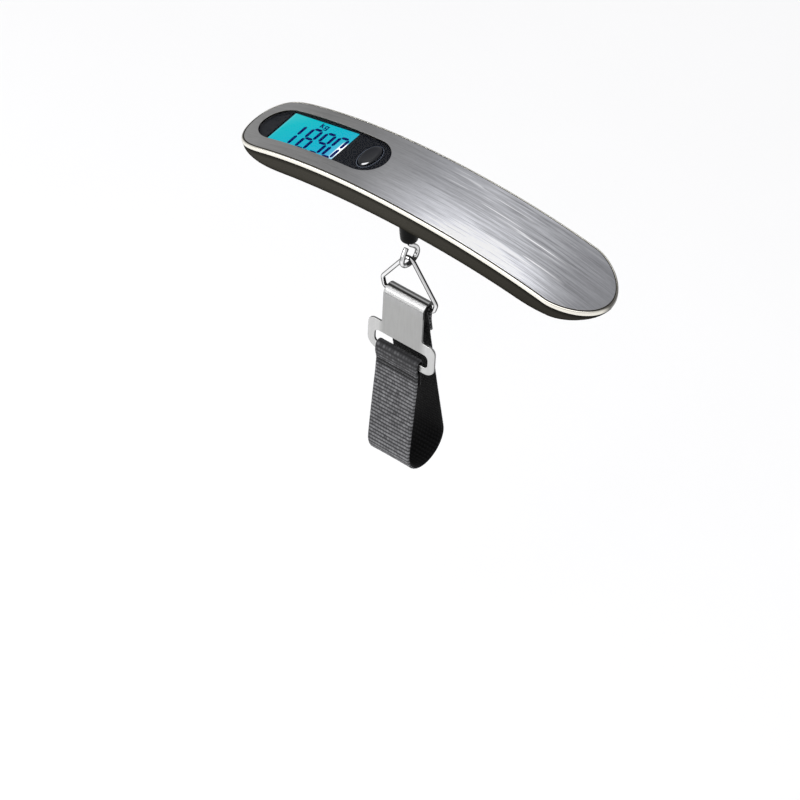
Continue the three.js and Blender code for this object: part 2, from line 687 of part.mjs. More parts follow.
// Radius, z.
const COLLAR_PROFILE = [
  [COLLAR_BORE, COLLAR.top],
  [COLLAR_FLANGE.r, COLLAR.top],
  [COLLAR_FLANGE.r, COLLAR.top - COLLAR_FLANGE.t],
  [COLLAR.r, COLLAR.top - COLLAR_FLANGE.t],
  [COLLAR.r, -21.5],
  [3.45, COLLAR.tip + 1.2],
  [3.35, COLLAR.tip + 0.3],
  [3.05, COLLAR.tip],
  [COLLAR_BORE, COLLAR.tip],
  [COLLAR_BORE, COLLAR.top],
];
const collar = solid(turned(COLLAR_PROFILE, 20).translate(HOOK_X, 0, 0));
add(upper, "spindle_collar", collar, FINISH.collar);

// ---------------------------------------------------------------- hook with nut and washer
const HOOK_WIRE = 1.0; // radius
const HOOK_BEND = { y: 0.3, z: -40.3, r: 4.8 }; // centre line of the bend
// Centre line of shank, bend and tip: y, z.
const HOOK_PATH = [
  [0, -2.7], [0, -12], [0, -22], [0, -29],
  [0.05, -31.6], [0.75, -33.4], [2.1, -35.1], [3.8, -36.9],
  ...arc(HOOK_BEND, HOOK_BEND.r, 14, -166, 6),
  [-3.5, -39.2], [-2.3, -37.4], [-1.35, -36.1],
];
const hook = wire(HOOK_PATH.map(([y, z]) => [HOOK_X, y, z]), HOOK_WIRE, 46, 8);
add(hanging, "hook", hook, FINISH.chrome);

const bored = (shape, radius) => {
  shape.holes.push(new THREE.Path().absarc(HOOK_X, 0, radius, 0, 2 * Math.PI, true));
  return shape;
};
const nut = raise(bored(regularPolygon(6, 3.1, HOOK_X), 1.25), -5.3, -3.0, 10);
add(hanging, "spindle_nut", nut, FINISH.nutSteel);
const disc = new THREE.Shape().absarc(HOOK_X, 0, 3.0, 0, 2 * Math.PI, false);
add(hanging, "spindle_washer", raise(bored(disc, 1.3), -6.2, -5.6, 12), FINISH.nutSteel);

// ---------------------------------------------------------------- wire triangle
// Bent from one length of wire whose ends butt under the webbing, at the middle of the base bar.
// x from the hook's axis, z, corner radius.
const TRIANGLE = [
  [-0.15, BAR_Z, 0],
  [-11.6, BAR_Z, 1.7],
  [-12.5, -58.9, 1.9],
  [0, -40.0, 2.5],
  [12.8, -59.4, 1.9],
  [11.6, BAR_Z, 1.7],
  [0.15, BAR_Z, 0],
];
const trianglePath = rounded(
  TRIANGLE.map(([x, z]) => [HOOK_X + x, 0, z]),
  TRIANGLE.map(([, , radius]) => radius),
);
add(hanging, "triangle_ring", wire(trianglePath, RING_WIRE, 72, 8, 0.35), FINISH.chrome);

// ---------------------------------------------------------------- hook buckle
// Drawn in its own frame: the base bar's axis is the origin, the plate hangs on -Y.
const BUCKLE_TILT = radians(3.6);
const PLATE_T = 1.0; // sheet
const ROLL_IN = 2.75; // radii of the rolled hook
const ROLL_OUT = ROLL_IN + PLATE_T;
const ROLL_END = 0.06; // angle of the roll's free end
const PLATE_HALF = 9.5;
const TEE = { half: 15.9, top: -14.6, bottom: -29.4, r: 4.2 };
const SLOT = { half: 12.6, bottom: TEE.bottom + 3.3, top: TEE.top - 5.4, r: 1.8 };

buckle.position.set(HOOK_X, 0, BAR_Z);
buckle.rotation.x = -BUCKLE_TILT;
hanging.add(buckle);

function bucklePlate() {
  const roll = new THREE.Shape();
  roll.moveTo(-ROLL_OUT, -4);
  roll.lineTo(-ROLL_OUT, 0);
  roll.absarc(0, 0, ROLL_OUT, Math.PI, ROLL_END, true);
  roll.lineTo(ROLL_IN, 0.1);
  roll.absarc(0, 0, ROLL_IN, ROLL_END, Math.PI, false);
  roll.lineTo(-ROLL_IN, -4);

  const { half, top, bottom, r } = TEE;
  const quarter = Math.PI / 2;
  const plateTop = -3.6;
  const tee = new THREE.Shape();
  tee.moveTo(-PLATE_HALF, plateTop);
  tee.lineTo(-PLATE_HALF, top);
  tee.lineTo(-half + r, top);
  tee.absarc(-half + r, top - r, r, quarter, Math.PI, false);
  tee.absarc(-half + r, bottom + r, r, Math.PI, 3 * quarter, false);
  tee.absarc(half - r, bottom + r, r, -quarter, 0, false);
  tee.absarc(half - r, top - r, r, 0, quarter, false);
  tee.lineTo(PLATE_HALF, top);
  tee.lineTo(PLATE_HALF, plateTop);
  const slot = roundedRect(-SLOT.half, SLOT.bottom, SLOT.half, SLOT.top, SLOT.r);
  tee.holes.push(new THREE.Path(slot.getPoints(4).reverse()));

  return join(
    sideways(roll, -PLATE_HALF, PLATE_HALF, 14),
    standUp(tee, -ROLL_OUT, -ROLL_IN, 5),
  );
}
add(buckle, "buckle_plate", bucklePlate(), FINISH.steelSatin);

// ---------------------------------------------------------------- webbing
// Each leg is drawn in (y, z): a loop round its metal bar with a sewn flap on the +Y side,
// a run down to the bottom of the handle's space, and a fill between flap and run.
const STRAP_T = 1.3;
const BACK_X = [-18.7, 0.95]; // webbing edges of the leg on the base bar
const FRONT_X = [-20.0, 0.1]; // the leg on the buckle, shifted sideways in its slot
const HANDLE = { y: -1.0, z: -136.8, r: 9.7 }; // space for a luggage handle in the loop
const HANDLE_WRAP = HANDLE.r + STRAP_T / 2; // centre line radius round the handle

// A strip of webbing around its centre line.
function band(points) {
  const left = [];
  const right = [];
  points.forEach(([y, z], i) => {
    const before = points[Math.max(0, i - 1)];
    const after = points[Math.min(points.length - 1, i + 1)];
    const dy = after[0] - before[0];
    const dz = after[1] - before[1];
    const run = Math.hypot(dy, dz);
    const offY = ((-dz / run) * STRAP_T) / 2;
    const offZ = ((dy / run) * STRAP_T) / 2;
    left.push([y + offY, z + offZ]);
    right.push([y - offY, z - offZ]);
  });
  return polygon([...left, ...right.reverse()]);
}
const webbing = ([x0, x1], loop, run, fill) =>
  join(...[band(loop), band(run), polygon(fill)].map((shape) => sideways(shape, x0, x1, 8)));

// Back leg: round the base bar, down the +Y side of the handle.
function backLeg() {
  const eye = (STRAP_T + 0.3) / 2 + RING_WIRE; // centre line radius round the bar
  const flapEnd = -75.2;
  const loop = [
    [1.05, flapEnd],
    [0.78, -69],
    [1.05, -67.2],
    ...arc({ y: 0, z: BAR_Z }, eye, -28, 208, 10),
    [-1.1, -67.2],
    [-0.42, -69],
  ];
  const run = [
    [-0.42, -68.2],
    [-0.05, -72.5],
    [0.45, -77],
    ...arc(HANDLE, HANDLE_WRAP, 5, -88.8, 9),
  ];
  const fill = [[-0.9, -68.0], [1.2, -68.0], [1.4, flapEnd], [0.0, flapEnd]];
  return webbing(BACK_X, loop, run, fill);
}
add(hanging, "strap_back_leg", backLeg(), FINISH.webbingDark);

// Front leg: round the buckle's lower bar, down the -Y side of the handle.
function frontLeg() {
  const cos = Math.cos(-BUCKLE_TILT);
  const sin = Math.sin(-BUCKLE_TILT);
  // From the buckle's frame into the hanging group's.
  const tilted = ([y, z]) => [y * cos - z * sin, y * sin + z * cos + BAR_Z];
  const barY = -(ROLL_OUT + ROLL_IN) / 2; // middle of the sheet
  const wrap = PLATE_T / 2 + 0.3 + STRAP_T / 2; // centre line off the sheet's middle
  const { bottom } = TEE;
  const loop = [
    [barY + 0.8, bottom - 8.2],
    [barY + 0.75, bottom - 2.4],
    [barY + wrap, bottom + 0.2],
    ...arc({ y: barY, z: SLOT.bottom - 0.2 }, wrap, 0, 180, 6),
    [barY - wrap, bottom + 0.2],
    [barY - 0.6, bottom - 2.4],
  ].map(tilted);
  const upperRun = [
    [barY - 0.55, bottom - 1.9],
    [barY - 0.6, bottom - 5],
    [barY - 0.62, bottom - 8.4],
  ].map(tilted);
  const fill = [
    [barY - 0.6, bottom - 1.6],
    [barY + 0.8, bottom - 1.6],
    [barY + 1.2, bottom - 8.2],
    [barY - 0.6, bottom - 8.2],
  ].map(tilted);
  const run = [...upperRun, ...arc(HANDLE, HANDLE_WRAP, 184, 268.8, 9)];
  return webbing(FRONT_X, loop, run, fill);
}
add(hanging, "strap_front_leg", frontLeg(), FINISH.webbingGrey);

export default scale;
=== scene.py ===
"""A hand-held hanging scale: an arched body with a steel cover and display, a hook, a triangle
ring, and a buckle with a webbing strap.

Shapes are laid out in millimetres. +X runs from the display end to the plain end, -Y is the
front, and z = 0 is the top of the cover. The strap hangs below the body, down -Z.
"""
import json
import math

import bmesh
import bpy
import numpy as np
from mathutils import Matrix, Vector
from mathutils.geometry import delaunay_2d_cdt


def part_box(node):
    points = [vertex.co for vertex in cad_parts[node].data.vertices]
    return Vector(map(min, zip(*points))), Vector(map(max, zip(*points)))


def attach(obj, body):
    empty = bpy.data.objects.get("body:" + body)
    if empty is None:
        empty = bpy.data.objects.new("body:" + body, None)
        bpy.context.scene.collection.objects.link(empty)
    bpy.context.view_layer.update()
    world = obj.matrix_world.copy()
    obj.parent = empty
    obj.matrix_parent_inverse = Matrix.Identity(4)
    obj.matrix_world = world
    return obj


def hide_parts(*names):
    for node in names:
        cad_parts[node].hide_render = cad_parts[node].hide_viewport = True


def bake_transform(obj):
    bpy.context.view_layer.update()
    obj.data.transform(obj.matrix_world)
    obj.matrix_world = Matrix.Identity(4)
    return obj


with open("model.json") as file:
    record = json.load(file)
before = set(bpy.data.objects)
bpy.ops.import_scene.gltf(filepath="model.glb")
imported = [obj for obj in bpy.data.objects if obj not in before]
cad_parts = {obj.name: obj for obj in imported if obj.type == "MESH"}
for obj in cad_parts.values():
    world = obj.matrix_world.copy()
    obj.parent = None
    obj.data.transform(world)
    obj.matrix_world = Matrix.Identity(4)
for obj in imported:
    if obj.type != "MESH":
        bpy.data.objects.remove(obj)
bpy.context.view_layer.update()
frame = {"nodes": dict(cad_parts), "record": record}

MM = 0.001

LIFT = float(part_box("steel_top_cover")[1][2]) * 1000  # height of the cover's top in the frame
UP = np.array([0.0, 0.0, LIFT])


def mm_box(node):
    """A CAD piece's low and high corners in this script's millimetres."""
    low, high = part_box(node)
    return np.array(low) * 1000 - UP, np.array(high) * 1000 - UP


# ---------------------------------------------------------------- driving dimensions
HALF = 82.5  # half the body's length
HALF_WIDTH = 16.437
ARCH_SPAN = 80
ARCH = (9.388, -1.171, 1.905)  # the cover's drop by (x / ARCH_SPAN) squared, cubed and to the 4th
PLAN_TAPERS = (20.147, 18.376)  # how far the plan rounds in from the display and plain ends
DEPTH_TAPERS = (16.06, 28.2)  # how far the underside rises from the same ends
HULL_POWER = 2.3  # superellipse exponent of the casing's section

RIM, SHEET = 2.0, 0.6  # the cover's rim height and sheet thickness
GAP, SHELL = 0.3, 1.5  # between rim and casing; the casing's thickness
CASING_INSET = 0.4  # the casing's outer skin, in from the cover's outline

WINDOW = dict(x=-48.95, y=0.6, straight=39.3, r=9.3)
LCD = dict(x0=-70.4, x1=-39.0, y0=-8.6, y1=9.8, z=-1.1)
TILT = math.radians(12.05)  # the display's slope along x
BUTTON = dict(x=-27.6, y=0.8, rx=3.3, ry=6.1)
DOOR = (31.0, -10.6, 57.0, 10.6)  # battery opening: x0, y0, x1, y1
DOOR_RADIUS = 3.0
CUT_FLOOR = -30  # below the whole casing, where cuts start

COLLAR_LOW, COLLAR_HIGH = mm_box("spindle_collar")
HOOK_X = float(COLLAR_LOW[0] + COLLAR_HIGH[0]) / 2
BAR_Z = -63.6  # the triangle's lower bar, inside the buckle's roll
BACK_X = [float(corner[0]) for corner in mm_box("strap_back_leg")]
FRONT_X = [float(corner[0]) for corner in mm_box("strap_front_leg")]


# ---------------------------------------------------------------- the body's surfaces
def ztop(x):
    """Height of the arched cover."""
    u = np.asarray(x, float) / ARCH_SPAN
    return -(ARCH[0] * u**2 + ARCH[1] * u**3 + ARCH[2] * u**4)


def tapers(x, lengths):
    """0 along the body's middle, rising to 1 at its display end and at its plain end."""
    left, right = lengths
    at_display = np.clip((-HALF + left - x) / left, 0, 1)
    return at_display, np.clip((x - HALF + right) / right, 0, 1)


def half_width(x):
    x = np.asarray(x, float)
    u = x / HALF
    left, right = tapers(x, PLAN_TAPERS)
    ends = np.sqrt(np.maximum(0, (1 - left**4) * (1 - right**1.6)))
    return HALF_WIDTH * (1 + 0.03785 * u - 0.02304 * u * u) * ends


def raw_depth(x):
    x = np.asarray(x, float)
    u = x / HALF
    middle = 17.25 - 0.23 * u - 1.16 * u**2 + 2.71 * u**3 - 0.75 * u**4
    left, right = tapers(x, DEPTH_TAPERS)
    return middle * (1 - left**1.37) ** (1 / 1.37) * (1 - right**1.3) ** (1 / 1.3)


def hull_depth(x):
    """The casing's depth below the rim, averaged over up to 7 mm each way."""
    x = np.asarray(x, float)
    reach = np.minimum(7.0, HALF - np.abs(x))
    return sum((4 - abs(k)) * raw_depth(x + reach * k / 3) for k in range(-3, 4)) / 16


def outline(count, tangent_reach=0.6):
    """Points evenly spaced anticlockwise round the plan, and their outward unit normals."""
    angle = np.linspace(0, np.pi, 6001)
    x = -HALF * np.cos(angle)
    y = half_width(x)
    y[0] = y[-1] = 0
    px = np.concatenate([x, x[-2:0:-1], x[:1]])
    py = np.concatenate([-y, y[-2:0:-1], -y[:1]])
    run = np.concatenate([[0], np.cumsum(np.hypot(np.diff(px), np.diff(py)))])
    total = run[-1]
    places = np.arange(count) * total / count

    def at(place):
        return np.stack([np.interp(place, run, px), np.interp(place, run, py)], 1)

    tangent = at((places + tangent_reach) % total) - at((places - tangent_reach) % total)
    tx, ty = tangent[:, 0], tangent[:, 1]
    length = np.hypot(tx, ty)
    return at(places), np.stack([ty / length, -tx / length], 1)


OUTLINE, OUTLINE_NORMALS = outline(440)


def offset_half_width(inset):
    """Half-width function of the outline moved inwards."""
    points, normals = outline(2400)
    moved = points - inset * normals
    moved = moved[moved[:, 1] > 0]
    moved = moved[np.argsort(moved[:, 0])]
    xs = np.concatenate([[-HALF + inset], moved[:, 0], [HALF - inset]])
    ys = np.concatenate([[0], moved[:, 1], [0]])
    return lambda x: np.interp(x, xs, ys, left=0, right=0)


# ---------------------------------------------------------------- plane curves
def window_ring(radius, count):
    """Points evenly spaced anticlockwise round the window's stadium, with the given radius."""
    cx, cy, straight = WINDOW["x"], WINDOW["y"], WINDOW["straight"]
    total = 2 * straight + 2 * math.pi * radius
    out = []
    for k in range(count):
        s = total * k / count
        if s < straight:
            out.append((cx - straight / 2 + s, cy - radius))
        elif s < straight + math.pi * radius:
            a = (s - straight) / radius - math.pi / 2
            out.append((cx + straight / 2 + radius * math.cos(a), cy + radius * math.sin(a)))
        elif s < 2 * straight + math.pi * radius:
            out.append((cx + straight / 2 - (s - straight - math.pi * radius), cy + radius))
        else:
            a = (s - 2 * straight - math.pi * radius) / radius + math.pi / 2
            out.append((cx - straight / 2 + radius * math.cos(a), cy + radius * math.sin(a)))
    return np.array(out)


def button_ring(grow, count=72):
    """An ellipse this much larger than the button."""
    a = np.linspace(0, 2 * np.pi, count, endpoint=False)
    rx, ry = BUTTON["rx"] + grow, BUTTON["ry"] + grow
    return np.stack([BUTTON["x"] + rx * np.cos(a), BUTTON["y"] + ry * np.sin(a)], 1)


def smooth_curve(points, per):
    """Catmull-Rom curve through the points, with this many steps to a span."""
    p = np.array([points[0]] + list(points) + [points[-1]], float)
    out = []
    for i in range(1, len(p) - 2):
        for k in range(per):
            t = k / per
            a, b, c, d = p[i - 1], p[i], p[i + 1], p[i + 2]
            square = (2 * a - 5 * b + 4 * c - d) * t * t
            out.append(0.5 * ((2 * b) + (c - a) * t + square + (3 * b - a - 3 * c + d) * t**3))
    out.append(p[-2])
    return np.array(out)


def corner_arc(before, point, after, radius, per):
    a, b = before - point, after - point
    len_a, len_b = np.linalg.norm(a), np.linalg.norm(b)
    a, b = a / len_a, b / len_b
    half = math.acos(float(np.clip(a @ b, -1, 1))) / 2
    if radius <= 0 or abs(half - math.pi / 2) < 1e-3:
        return [point]
    run = min(radius / math.tan(half), 0.49 * len_a, 0.49 * len_b)
    radius = run * math.tan(half)
    middle = a + b
    middle /= np.linalg.norm(middle)
    centre = point + middle * radius / math.sin(half)
    start, end = point + a * run - centre, point + b * run - centre
    cosine = (start @ end) / (np.linalg.norm(start) * np.linalg.norm(end))
    whole = math.acos(float(np.clip(cosine, -1, 1)))
    out = []
    for k in range(per + 1):
        f = k / per
        from_start = start * math.sin((1 - f) * whole) / math.sin(whole)
        out.append(centre + from_start + end * math.sin(f * whole) / math.sin(whole))
    return out


def fillet(points, radii, per):
    """A closed polygon with rounded corners; radii is one radius or one per corner."""
    pts = [np.array(p, float) for p in points]
    count = len(pts)
    radii = radii if hasattr(radii, "__len__") else [radii] * count
    out = []
    for i in range(count):
        out += corner_arc(pts[i - 1], pts[i], pts[(i + 1) % count], radii[i], per)
    return np.array(out)


def rect(x0, y0, x1, y1):
    return [(x0, y0), (x1, y0), (x1, y1), (x0, y1)]


def run_length(points):
    return np.concatenate([[0], np.cumsum(np.linalg.norm(np.diff(points, axis=0), axis=1))])


def resample(points, step=None, count=None, closed=False):
    p = np.array(points, float)
    if closed:
        p = np.vstack([p, p[:1]])
    gaps = np.linalg.norm(np.diff(p, axis=0), axis=1)
    p = p[np.concatenate([[True], gaps > 1e-9])]
    run = run_length(p)
    count = count or max(2, int(round(run[-1] / step)))
    t = np.arange(count) * run[-1] / count if closed else np.linspace(0, run[-1], count)
    return np.stack([np.interp(t, run, p[:, k]) for k in range(p.shape[1])], 1)


def ease(points, times):
    """Soften a line by averaging each point with its neighbours."""
    p = np.array(points, float)
    for _ in range(times):
        p[1:-1] = 0.25 * p[:-2] + 0.5 * p[1:-1] + 0.25 * p[2:]
    return p


def directions(points):
    t = np.gradient(points, axis=0)
    return t / np.linalg.norm(t, axis=1)[:, None]


def shifted(loop, outward, is_hole, reach):
    """A loop moved away from the sheet it bounds; reach is the neighbour used for its tangent."""
    t = np.roll(loop, -reach, 0) - np.roll(loop, reach, 0)
    t /= np.hypot(t[:, 0], t[:, 1])[:, None]
    normal = np.stack([t[:, 1], -t[:, 0]], 1)
    return loop + outward * normal * (-1 if is_hole else 1)


# ---------------------------------------------------------------- filling flat regions
def inside(polygon, points):
    x, y = points[:, 0][:, None], points[:, 1][:, None]
    a, b = polygon, np.roll(polygon, -1, 0)
    crosses = (a[:, 1] > y) != (b[:, 1] > y)
    with np.errstate(divide="ignore", invalid="ignore"):
        hit = x < (b[:, 0] - a[:, 0]) * (y - a[:, 1]) / (b[:, 1] - a[:, 1]) + a[:, 0]
    return (np.sum(crosses & hit, 1) % 2) == 1


def near(polygon, points, distance):
    """Which points lie close to the polygon's points, taken 64 at a time to save memory."""
    out = np.zeros(len(points), bool)
    for k in range(0, len(polygon), 64):
        q = polygon[k : k + 64]
        dx, dy = (points[:, None, i] - q[None, :, i] for i in (0, 1))
        out |= (np.hypot(dx, dy) < distance).any(1)
    return out


def fill_region(outer, holes, step, margin=None):
    """Points and triangles between outer and holes. The loops' own points come first."""
    margin = margin or step * 0.6
    low, high = outer.min(0), outer.max(0)
    gx, gy = np.meshgrid(
        np.arange(low[0], high[0], step), np.arange(low[1], high[1], step * 0.9)
    )
    gx = gx + (np.arange(gx.shape[0])[:, None] % 2) * step / 2
    grid = np.stack([gx.ravel(), gy.ravel()], 1)
    grid = grid[inside(outer, grid)]
    for hole in holes:
        grid = grid[~inside(hole, grid)]
    loops = [outer] + holes
    for loop in loops:
        grid = grid[~near(loop, grid, margin)]
    points = np.concatenate(loops + [grid])
    edges, base = [], 0
    for loop in loops:
        count = len(loop)
        edges += [(base + i, base + (i + 1) % count) for i in range(count)]
        base += count
    _, _, found, sources, _, _ = delaunay_2d_cdt(
        [Vector(p) for p in points], edges, [], 0, 1e-7
    )
    source = [ids[0] if ids else -1 for ids in sources]
    faces = np.array([[source[i] for i in face] for face in found])
    centres = points[faces].mean(1)
    keep = inside(outer, centres)
    for hole in holes:
        keep &= ~inside(hole, centres)
    faces = faces[keep]
    a, b, c = (points[faces[:, i]] for i in range(3))
    area = (b[:, 0] - a[:, 0]) * (c[:, 1] - a[:, 1]) - (b[:, 1] - a[:, 1]) * (c[:, 0] - a[:, 0])
    faces[area < 0] = faces[area < 0][:, ::-1]
    return points, faces


# ---------------------------------------------------------------- meshes as (points, faces)
def ring_quads(first, second, count, down=False):
    """Quads joining two rings that start at these indices; down steps to the second ring first."""
    quads = []
    for j in range(count):
        k = (j + 1) % count
        if down:
            quads.append((first + j, second + j, second + k, first + k))
        else:
            quads.append((first + j, first + k, second + k, second + j))
    return quads


def tube(rings):
    """Rings of points joined in order, closed at both ends."""
    count, last = len(rings[0]), len(rings) - 1
    faces = []
    for i in range(last):
        faces += ring_quads(i * count, (i + 1) * count, count)
    faces.append(tuple(range(count))[::-1])
    faces.append(tuple(range(last * count, (last + 1) * count)))
    return [point for ring in rings for point in ring], faces


def prism(polygon, z0, z1):
    count = len(polygon)
    verts = [(x, y, z) for z in (z0, z1) for x, y in polygon]
    faces = [tuple(range(count))[::-1], tuple(range(count, 2 * count))]
    return verts, faces + ring_quads(0, count, count)


def lathe(profile, segments, centre):
    """A turned shape about a vertical axis. The (radius, z) profile ends on the axis or joins up."""
    verts, faces, rings = [], [], []
    for r, z in profile:
        if abs(r) < 1e-9:
            rings.append([len(verts)])
            verts.append((centre[0], centre[1], z))
            continue
        rings.append(list(range(len(verts), len(verts) + segments)))
        for k in range(segments):
            a = 2 * math.pi * k / segments
            verts.append((centre[0] + r * math.cos(a), centre[1] + r * math.sin(a), z))
    pairs = list(zip(rings, rings[1:]))
    if len(rings[0]) > 1 and len(rings[-1]) > 1:
        pairs.append((rings[-1], rings[0]))
    for a, b in pairs:
        if len(a) > 1 and len(b) > 1:
            faces += ring_quads(a[0], b[0], segments)
            continue
        for k in range(segments):
            k2 = (k + 1) % segments
            faces.append((a[0], b[k2], b[k]) if len(a) == 1 else (a[k], a[k2], b[0]))
    return verts, faces


def cylinder(radius, z0, z1, segments, centre):
    return lathe([(0, z0), (radius, z0), (radius, z1), (0, z1)], segments, centre)


def sweep(path, radius, segments, chamfer):
    """Round wire along a path, with chamfered ends."""
    p = np.array(path, float)
    t = directions(p)
    side = np.array([1.0, 0, 0])
    if abs(t[0] @ side) > 0.9:
        side = np.array([0, 1.0, 0])
    u = np.cross(t[0], side)
    u /= np.linalg.norm(u)
    frames = []
    for k in range(len(p)):
        if k:
            u = u - (u @ t[k]) * t[k]
            u /= np.linalg.norm(u)
        frames.append((u.copy(), np.cross(t[k], u)))
    angles = np.linspace(0, 2 * math.pi, segments, endpoint=False)

    def ring(centre, k, r):
        u, v = frames[k]
        return [centre + r * (math.cos(a) * u + math.sin(a) * v) for a in angles]

    def end(k, inwards):
        # how far in, as a share of the chamfer, and the radius there
        steps = ((0.0, radius - chamfer), (0.35, radius - chamfer * 0.3), (1.0, radius))
        return [ring(p[k] + inwards * t[k] * chamfer * depth, k, r) for depth, r in steps]

    rings = end(0, 1)
    rings += [ring(p[k], k, radius) for k in range(1, len(p) - 1)]
    return tube(rings + end(len(p) - 1, -1)[::-1])


def cap_faces(triangles, runs):
    """A fill's triangles, pointed at runs of vertices given as (start, count)."""
    index = [i for start, count in runs for i in range(start, start + count)]
    return [tuple(index[i] for i in triangle) for triangle in triangles]


def plate_mesh(loops, levels, place, step, margin=None, reach=1, turn_holes=True):
    """A sheet bounded by its outer loop and then its holes.

    levels holds (outward shift, height) from the upper face, over the edge, to the lower face.
    place turns x, y and height into a point.
    """
    rims = [shifted(loop, levels[0][0], i > 0, reach) for i, loop in enumerate(loops)]
    points, triangles = fill_region(rims[0], rims[1:], step, margin)
    interior = points[sum(len(loop) for loop in loops) :]
    verts, faces, upper, lower = [], [], [], []
    for number, loop in enumerate(loops):
        count, starts = len(loop), []
        for outward, height in levels:
            starts.append(len(verts))
            moved = shifted(loop, outward, number > 0, reach)
            verts += [place(x, y, height) for x, y in moved]
        for first, second in zip(starts, starts[1:]):
            quads = ring_quads(first, second, count, down=True)
            faces += [q[::-1] for q in quads] if number and turn_holes else quads
        upper.append((starts[0], count))
        lower.append((starts[-1], count))
    for runs, (_, height) in ((upper, levels[0]), (lower, levels[-1])):
        runs.append((len(verts), len(interior)))
        verts += [place(x, y, height) for x, y in interior]
    for top, bottom in zip(cap_faces(triangles, upper), cap_faces(triangles, lower)):
        faces += [top, bottom[::-1]]
    return verts, faces


def join(parts):
    verts, faces = [], []
    for part_verts, part_faces in parts:
        base = len(verts)
        verts += list(part_verts)
        faces += [tuple(i + base for i in face) for face in part_faces]
    return verts, faces


# ---------------------------------------------------------------- objects
def metres(points):
    """Points in metres in the frame."""
    return (np.asarray(points, float) + UP) * MM


def new_object(name, points, faces):
    """An object from points already in metres."""
    mesh = bpy.data.meshes.new(name)
    faces = [tuple(int(i) for i in face) for face in faces]
    mesh.from_pydata([tuple(p) for p in points], [], faces)
    mesh.update()
    obj = bpy.data.objects.new(name, mesh)
    bpy.context.scene.collection.objects.link(obj)
    return obj


def shade(obj, smooth=True, sharp=None):
    """Shade smooth or flat, with edges steeper than sharp degrees kept crisp."""
    mesh = obj.data
    mesh.polygons.foreach_set("use_smooth", [smooth] * len(mesh.polygons))
    if sharp:
        mesh.set_sharp_from_angle(angle=math.radians(sharp))


def tidy_mesh(obj, weld=True):
    """Face everything outwards, after welding points that coincide."""
    bm = bmesh.new()
    bm.from_mesh(obj.data)
    if weld:
        bmesh.ops.remove_doubles(bm, verts=bm.verts, dist=1e-7)
    bmesh.ops.recalc_face_normals(bm, faces=bm.faces)
    bm.to_mesh(obj.data)
    bm.free()
    if weld:
        obj.data.update()


def make(name, mesh, materials, body, replaces=None, tidy=True, smooth=True,
         sharp=None, material_ids=None):
    """A finished piece that rides on a body and may replace a CAD piece."""
    verts, faces = mesh
    obj = new_object(name, metres(verts), faces)
    for material in materials:
        obj.data.materials.append(material)
    if material_ids is not None:
        obj.data.polygons.foreach_set("material_index", np.asarray(material_ids, np.int32))
    shade(obj, smooth, sharp)
    obj.data.validate()
    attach(obj, body)
    if replaces:
        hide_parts(replaces)
    if tidy:
        tidy_mesh(obj)
    return obj


def solid(mesh):
    """A throwaway solid for a boolean."""
    verts, faces = mesh
    obj = new_object("solid", metres(verts), faces)
    tidy_mesh(obj)
    return obj


def boolean(target, tool, operation="DIFFERENCE"):
    """Apply a boolean to the target and remove the tool."""
    modifier = target.modifiers.new("b", "BOOLEAN")
    modifier.operation = operation
    modifier.solver = "EXACT"
    modifier.object = tool
    bpy.context.view_layer.update()
    depsgraph = bpy.context.evaluated_depsgraph_get()
    mesh = bpy.data.meshes.new_from_object(target.evaluated_get(depsgraph))
    target.modifiers.clear()
    old = target.data
    target.data = mesh
    bpy.data.meshes.remove(old)
    bpy.data.objects.remove(tool, do_unlink=True)


# ---------------------------------------------------------------- shader building
class Value:
    """A node's output that can be used in sums like a number."""

    def __init__(self, nodes, socket):
        self.nodes = nodes
        self.socket = socket

    def __add__(self, other):
        return self.nodes.math("ADD", self, other)

    def __radd__(self, other):
        return self.nodes.math("ADD", other, self)

    def __sub__(self, other):
        return self.nodes.math("SUBTRACT", self, other)

    def __rsub__(self, other):
        return self.nodes.math("SUBTRACT", other, self)

    def __mul__(self, other):
        return self.nodes.math("MULTIPLY", self, other)

    def __truediv__(self, other):
        return self.nodes.math("DIVIDE", self, other)

    def __abs__(self):
        return self.nodes.math("ABSOLUTE", self)

    def scaled(self, by, plus):
        return self.nodes.math("MULTIPLY_ADD", self, by, plus)


def rgba(colour):
    """Four channels from three, or from one grey level."""
    return (*colour, 1) if isinstance(colour, tuple) else (colour, colour, colour, 1)


